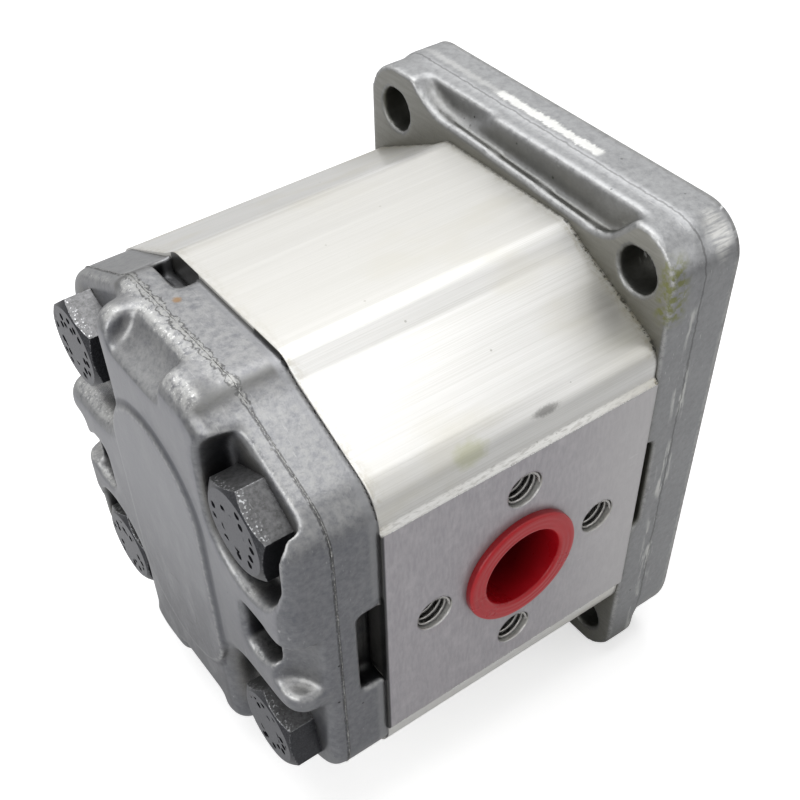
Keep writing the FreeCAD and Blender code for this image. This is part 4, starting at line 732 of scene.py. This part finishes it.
cover_mesh = cast_copy("rear_cover", 0.6, COVER_JOINT, cover_rounds)
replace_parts(hands_over(cover_mesh, "cast_cover", "housing", cover.material), "rear_cover")

# The flash follows the cover's outline where the two halves of the die closed.
FLASH_AT = -86.7
cover_slice = bmesh.new()
cover_slice.from_mesh(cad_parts["rear_cover"].data)
bmesh.ops.remove_doubles(cover_slice, verts=cover_slice.verts, dist=1e-6)
bmesh.ops.bisect_plane(
    cover_slice,
    geom=[*cover_slice.verts, *cover_slice.edges, *cover_slice.faces],
    dist=1e-7,
    plane_co=(FLASH_AT * MM, 0, 0),
    plane_no=(1, 0, 0),
    clear_inner=True,
    clear_outer=True,
)
outline = {max(cover_slice.verts, key=lambda vert: vert.co.z)}
edge_of_reach = list(outline)
while edge_of_reach:
    for edge in edge_of_reach.pop().link_edges:
        for vert in edge.verts:
            if vert not in outline:
                outline.add(vert)
                edge_of_reach.append(vert)
inside = [vert for vert in cover_slice.verts if vert not in outline]
bmesh.ops.delete(cover_slice, geom=inside, context="VERTS")
flash_line = bpy.data.meshes.new("flash_line")
cover_slice.to_mesh(flash_line)
cover_slice.free()
flash_dust = Finish("flash_dust", 0.55, 0.42)
flash_grain = flash_dust.speckle(0.5, detail=4.0)
flash_dust.relief(flash_grain, 0.03)
flash_dust.tone = flash_dust.mix(
    (0.10, 0.10, 0.10), (0.38, 0.38, 0.37), flash_dust.rise(flash_grain, 0.36, 0.62)
)
flash_dust.done()
cover_flash = grown(
    ridge_tree, flash_line,
    Step=0.35 * MM, Radius=0.15 * MM, Raggedness=0.55 * MM, Seed=1.0, Finish=flash_dust.material,
)
hands_over(cover_flash, "cover_flash", "housing")

# Front flange. The same kind of casting in a lighter grey. Its ears and mounting face are milled, its
# parting line is ground off along the top, and oil has left a stain on one ear.
mount = cast_skin("flange_casting", (0.215, 0.218, 0.224), (0.285, 0.288, 0.294), (0.68, 0.68, 0.66), 5.0)
# Painted light on the upward faces, and painted shade, dark olive, in the hollows.
hollows = mount.depths(20.0, 0.97, 0.50)
mount.coat((0.42, 0.425, 0.43), mount.rise(mount.face_z, 0.2, 0.8), mount.rise(mount.mottle, 0.0, 0.9), 0.7)
mount.coat((0.075, 0.075, 0.062), hollows, 0.85)
ear_milled = mount.both(mount.rise(mount.face_x, -0.965, -0.995), mount.rise(mount.x, -15.2, -15.4))
cut_marks = mount.speckle(0.6, (1, 12, 1), detail=4.0, shift=1.0)
ear_tone = mount.mix((0.225, 0.222, 0.200), (0.275, 0.272, 0.252), mount.rise(cut_marks, 0.30, 0.72))
# Painted shade darkens the milled ears in their hollows.
ear_tone = mount.mix(ear_tone, (0.09, 0.088, 0.07), mount.both(mount.depths(20.0, 0.90, 0.45), 0.75))
mount.coat(ear_tone, ear_milled, 0.85)
face_marks = mount.rise(mount.speckle(0.35, (1, 30, 1), detail=3.0, shift=1.0), 0.3, 0.7)
face_tone = mount.mix((0.40, 0.40, 0.395), (0.47, 0.47, 0.465), face_marks)
mount.coat(face_tone, mount.rise(mount.face_x, 0.965, 0.995), 0.95)

# Along the top the parting line is ground away: a bright ragged strip in the middle, fainter beyond.
top_face = mount.rise(mount.face_z, 0.3, 0.7)
ground_grain = mount.speckle(0.9, (2.2, 1, 1), detail=6.0, shift=3.0, rough=0.72)
from_ground = mount.sum("ADD", mount.size(mount.off(mount.x, -5.6)), 1.7)
ragged = mount.sum("MULTIPLY_ADD", ground_grain, -3.4, from_ground)
ground_long = mount.rise(mount.size(mount.off(mount.y, 14.0)), 31.0, 18.0)
mount.coat((0.62, 0.62, 0.61), mount.both(mount.rise(ragged, 1.2, 0.3), ground_long, top_face), 0.45)
ground_short = mount.rise(mount.size(mount.y), 15.2, 14.0)
mount.coat((0.80, 0.80, 0.78), mount.both(mount.rise(ragged, 1.35, 0.65), ground_short, top_face), 0.9)
side_scrape = mount.both(
    mount.rise(mount.size(mount.off(mount.x, -8.6)), 2.4, 0.6),
    mount.rise(mount.speckle(1.2, (1, 1, 7), detail=5.0, shift=2.0), 0.50, 0.62),
    mount.rise(mount.face_y, -0.7, -0.95),
    mount.rise(mount.speckle(16.0, shift=4.0), 0.42, 0.55),
)
mount.coat((0.60, 0.60, 0.58), side_scrape, 0.75)
turned_pilot = mount.rise(mount.x, 0.1, 0.3)
mount.coat((0.50, 0.50, 0.49), turned_pilot, mount.rise(mount.speckle(0.25, (1, 9, 9), shift=2.0), 0.1, 0.7))
stain = mount.both(
    mount.rise(mount.y, -40.3, -42.5), mount.strip(mount.z, 26.0, 38.0, 2.0), mount.rise(mount.x, -10.5, -13.5)
)
stain_grain = mount.rise(mount.speckle(1.3, detail=6.0, shift=1.5), 0.40, 0.60)
mount.coat((0.17, 0.18, 0.045), stain, stain_grain, 0.8)
corner_cut = mount.spot((-3.6, -41.9, 39.2), 2.6, 0.5, (0.9, 1.4, 2.0))
corner_marks = mount.rise(mount.speckle(0.5, (9, 1, 1), detail=4.0, shift=2.0), 0.34, 0.60)
mount.coat((0.66, 0.655, 0.63), mount.both(corner_cut, corner_marks), 0.7)
lip_waver = mount.sum("MULTIPLY_ADD", mount.speckle(1.8, shift=8.0), 0.9, -0.45)
from_lip = mount.size(mount.sum("ADD", mount.off(mount.x, -8.0), lip_waver))
mount.coat(
    (0.09, 0.09, 0.09), mount.rise(from_lip, 0.24, 0.08), mount.rise(mount.size(mount.face_x), 0.6, 0.3), 0.55
)
mount.done(mount.gloss)
mount_mesh = cast_copy("front_flange", 0.7, 0.0, lambda place: 3 if place.x < -0.6 else 0)
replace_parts(hands_over(mount_mesh, "cast_flange", "housing", mount.material), "front_flange")

# Bolts. Four M10 hexagon bolts of forged steel, blackened, that clamp cover and body to the flange.
# Each has punched marks round the rim of its head's face.
BOLT_Y, BOLT_Z = 29.9, 29.0  # how far each bolt is from the pump's middle
head_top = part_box("cover_bolt_1")[0][0] / MM
black = Finish("black_bolt", 0.6, 0.36)
black.soften(0.3)
black_grain = black.speckle(0.28, detail=4.0)
black.relief(black_grain, 0.018)
from_bolt = black.reach(
    black.off(black.size(black.y), BOLT_Y), black.off(black.size(black.off(black.z, MIDDLE)), BOLT_Z)
)
head_face = black.rise(black.face_x, -0.93, -0.98)
dents = black.pits(2.3, 0.76, 0.66, depth="2D")
dents = black.sum("MULTIPLY_ADD", black.speckle(0.45, detail=3.0, shift=4.0), 0.9, dents)
punched = black.both(head_face, black.strip(from_bolt, 3.8, 7.0, 0.3), black.rise(dents, 1.00, 1.18))
black.relief(black.but(punched), 0.20)
black.tone = black.mix((0.022, 0.023, 0.027), (0.054, 0.055, 0.062), black.rise(black_grain, 0.38, 0.72))
black.coat((0.066, 0.068, 0.080), head_face, 0.9)
# Painted light: the upward facets lighter and flecked, with painted glints along their front edges.
lit_facet = black.both(black.rise(black.face_z, 0.25, 0.8), black.rise(black.face_x, -0.5, -0.2))
side_fleck = black.rise(black.speckle(0.9, detail=6.0, shift=2.0, rough=0.75), 0.30, 0.70)
black.coat(black.mix((0.10, 0.10, 0.10), (0.22, 0.22, 0.225), side_fleck), lit_facet, 0.85)
front_edge = black.both(lit_facet, black.rise(black.x, head_top + 2.6, head_top + 1.2))
edge_glints = black.rise(black.speckle(0.5, detail=5.0, shift=7.0), 0.57, 0.63)
black.coat((0.75, 0.76, 0.78), black.both(front_edge, edge_glints), 0.8)
rim_worn = black.rise(black.speckle(0.5, detail=4.0, shift=3.0), 0.46, 0.62)
black.coat((0.55, 0.56, 0.58), black.rims(0.45), rim_worn, 0.8)
# The punched marks are real dents; their near-black colour is painted shade inside them.
black.coat((0.006, 0.006, 0.007), punched, 0.95)
black.done(
    gloss=black.sum("MULTIPLY_ADD", black_grain, 0.3, 0.2),
    metal=black.sum("MULTIPLY_ADD", punched, -0.6, 0.6),
    shine=black.sum("MULTIPLY_ADD", punched, -0.5, 0.5),
)
black.wear(*[f"cover_bolt_{number}" for number in (1, 2, 3, 4)])

# Port plugs. Moulded in red polyethylene, slightly glossy, with faint rings from the mould inside.
# They are pushed into the ports by hand, to keep dirt out until the pump is fitted.
red = Finish("red_plug", 0.0, 0.32)
red.shader.inputs["Specular IOR Level"].default_value = 0.38
red.shader.inputs["Subsurface Weight"].default_value = 0.12
red.shader.inputs["Subsurface Radius"].default_value = (0.004, 0.001, 0.001)
red.soften(0.25)
red_cloud = red.speckle(6.0, detail=3.0)
from_port = red.reach(red.off(red.x, PORTS_AT), red.off(red.z, MIDDLE))
red.relief(red.sum("SINE", red.both(from_port, 6.0)), 0.015)
red.relief(red.speckle(0.7, detail=3.0), 0.015)
red.tone = red.mix((0.40, 0.003, 0.008), (0.52, 0.006, 0.014), red_cloud)
# Painted shade deep inside the plug's cup.
red.coat((0.050, 0.002, 0.004), red.depths(15.0, 0.88, 0.25), 0.92)
red.done(red.sum("MULTIPLY_ADD", red_cloud, 0.2, 0.20))
red.wear("inlet_port_plug", "outlet_port_plug")


# Turned metal inside and at the shaft end. Gears and journals of ground steel, a plated nut and washer,
# a drawn key and dowels, springs, and light metal bearing blocks with bronze bushes pressed in. Most of
# it shows only from the front.
def turned_metal(name, dark, light, roughness, nodes):
    metal = Finish(name, 0.95, roughness)
    metal.soften(0.2)
    rings = metal.speckle(0.3, (1, 8, 8), detail=3.0)
    metal.relief(rings, 0.008)
    metal.tone = metal.mix(dark, light, rings)
    # Painted shade in the corners and hollows.
    metal.coat((0.08, 0.075, 0.07), metal.depths(3.0), 0.7)
    metal.done(metal.sum("MULTIPLY_ADD", rings, 0.2, roughness - 0.1))
    metal.wear(*nodes)
    return metal.material


def named(word):
    return [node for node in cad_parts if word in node]


gears = ["drive_gear_shaft", "driven_gear_shaft"]
plated = ["shaft_nut", "shaft_washer", "shaft_seal_case"]
springs = ["seal_retaining_ring", "shaft_seal_spring"]
ground_steel = turned_metal("ground_steel", (0.42, 0.42, 0.43), (0.60, 0.60, 0.61), 0.26, gears)
turned_metal("plated_steel", (0.40, 0.40, 0.385), (0.54, 0.54, 0.52), 0.30, plated)
turned_metal("drawn_steel", (0.30, 0.30, 0.31), (0.44, 0.44, 0.45), 0.36, ["shaft_key"] + named("dowel"))
turned_metal("spring_steel", (0.07, 0.065, 0.06), (0.16, 0.15, 0.14), 0.42, springs)
turned_metal("block_metal", (0.44, 0.44, 0.44), (0.60, 0.60, 0.60), 0.38, named("block"))
turned_metal("bush_bronze", (0.32, 0.21, 0.10), (0.50, 0.36, 0.19), 0.36, named("bush"))

# Shaft thread. M12 with a 1.5 mm pitch, cut in the steel of the shaft's end. Its nut holds a coupling
# on the taper, and the thread turns with the shaft.
thread_start, thread_end, shaft_pitch = 29.6, 39.4, 1.5
shaft_line = bpy.data.meshes.new("shaft_thread_start")
shaft_line.from_pydata([(thread_start * MM, 0, 0)], [], [])
shaft_thread = grown(
    thread_tree, shaft_line,
    Radius=5.55 * MM, Pitch=shaft_pitch * MM, Height=0.8 * MM, Turns=(thread_end - thread_start) / shaft_pitch,
    Crest_Turn=(0, 0, -math.pi / 2), Axis_Turn=(0, math.pi / 2, 0), Finish=ground_steel,
)
hands_over(shaft_thread, "shaft_thread", "drive_shaft")


# Seals. Moulded rubber rings and the shaft seal's lip, laid or pressed into their grooves, and stiff
# off-white bands that keep the pressure seals from being squeezed out.
def moulded(name, dark, light, roughness, nodes):
    soft = Finish(name, 0.0, roughness)
    dust = soft.speckle(0.9, detail=4.0)
    soft.relief(dust, 0.02)
    soft.tone = soft.mix(dark, light, dust)
    soft.done()
    soft.wear(*nodes)


rubbers = named("body_seal") + named("pressure_seal")
moulded("black_rubber", (0.012, 0.012, 0.012), (0.04, 0.04, 0.04), 0.6, rubbers)
moulded("brown_rubber", (0.06, 0.025, 0.012), (0.12, 0.06, 0.03), 0.55, ["shaft_seal_lip"])
moulded("stiff_band", (0.62, 0.60, 0.52), (0.78, 0.76, 0.68), 0.5, named("backup_ring"))
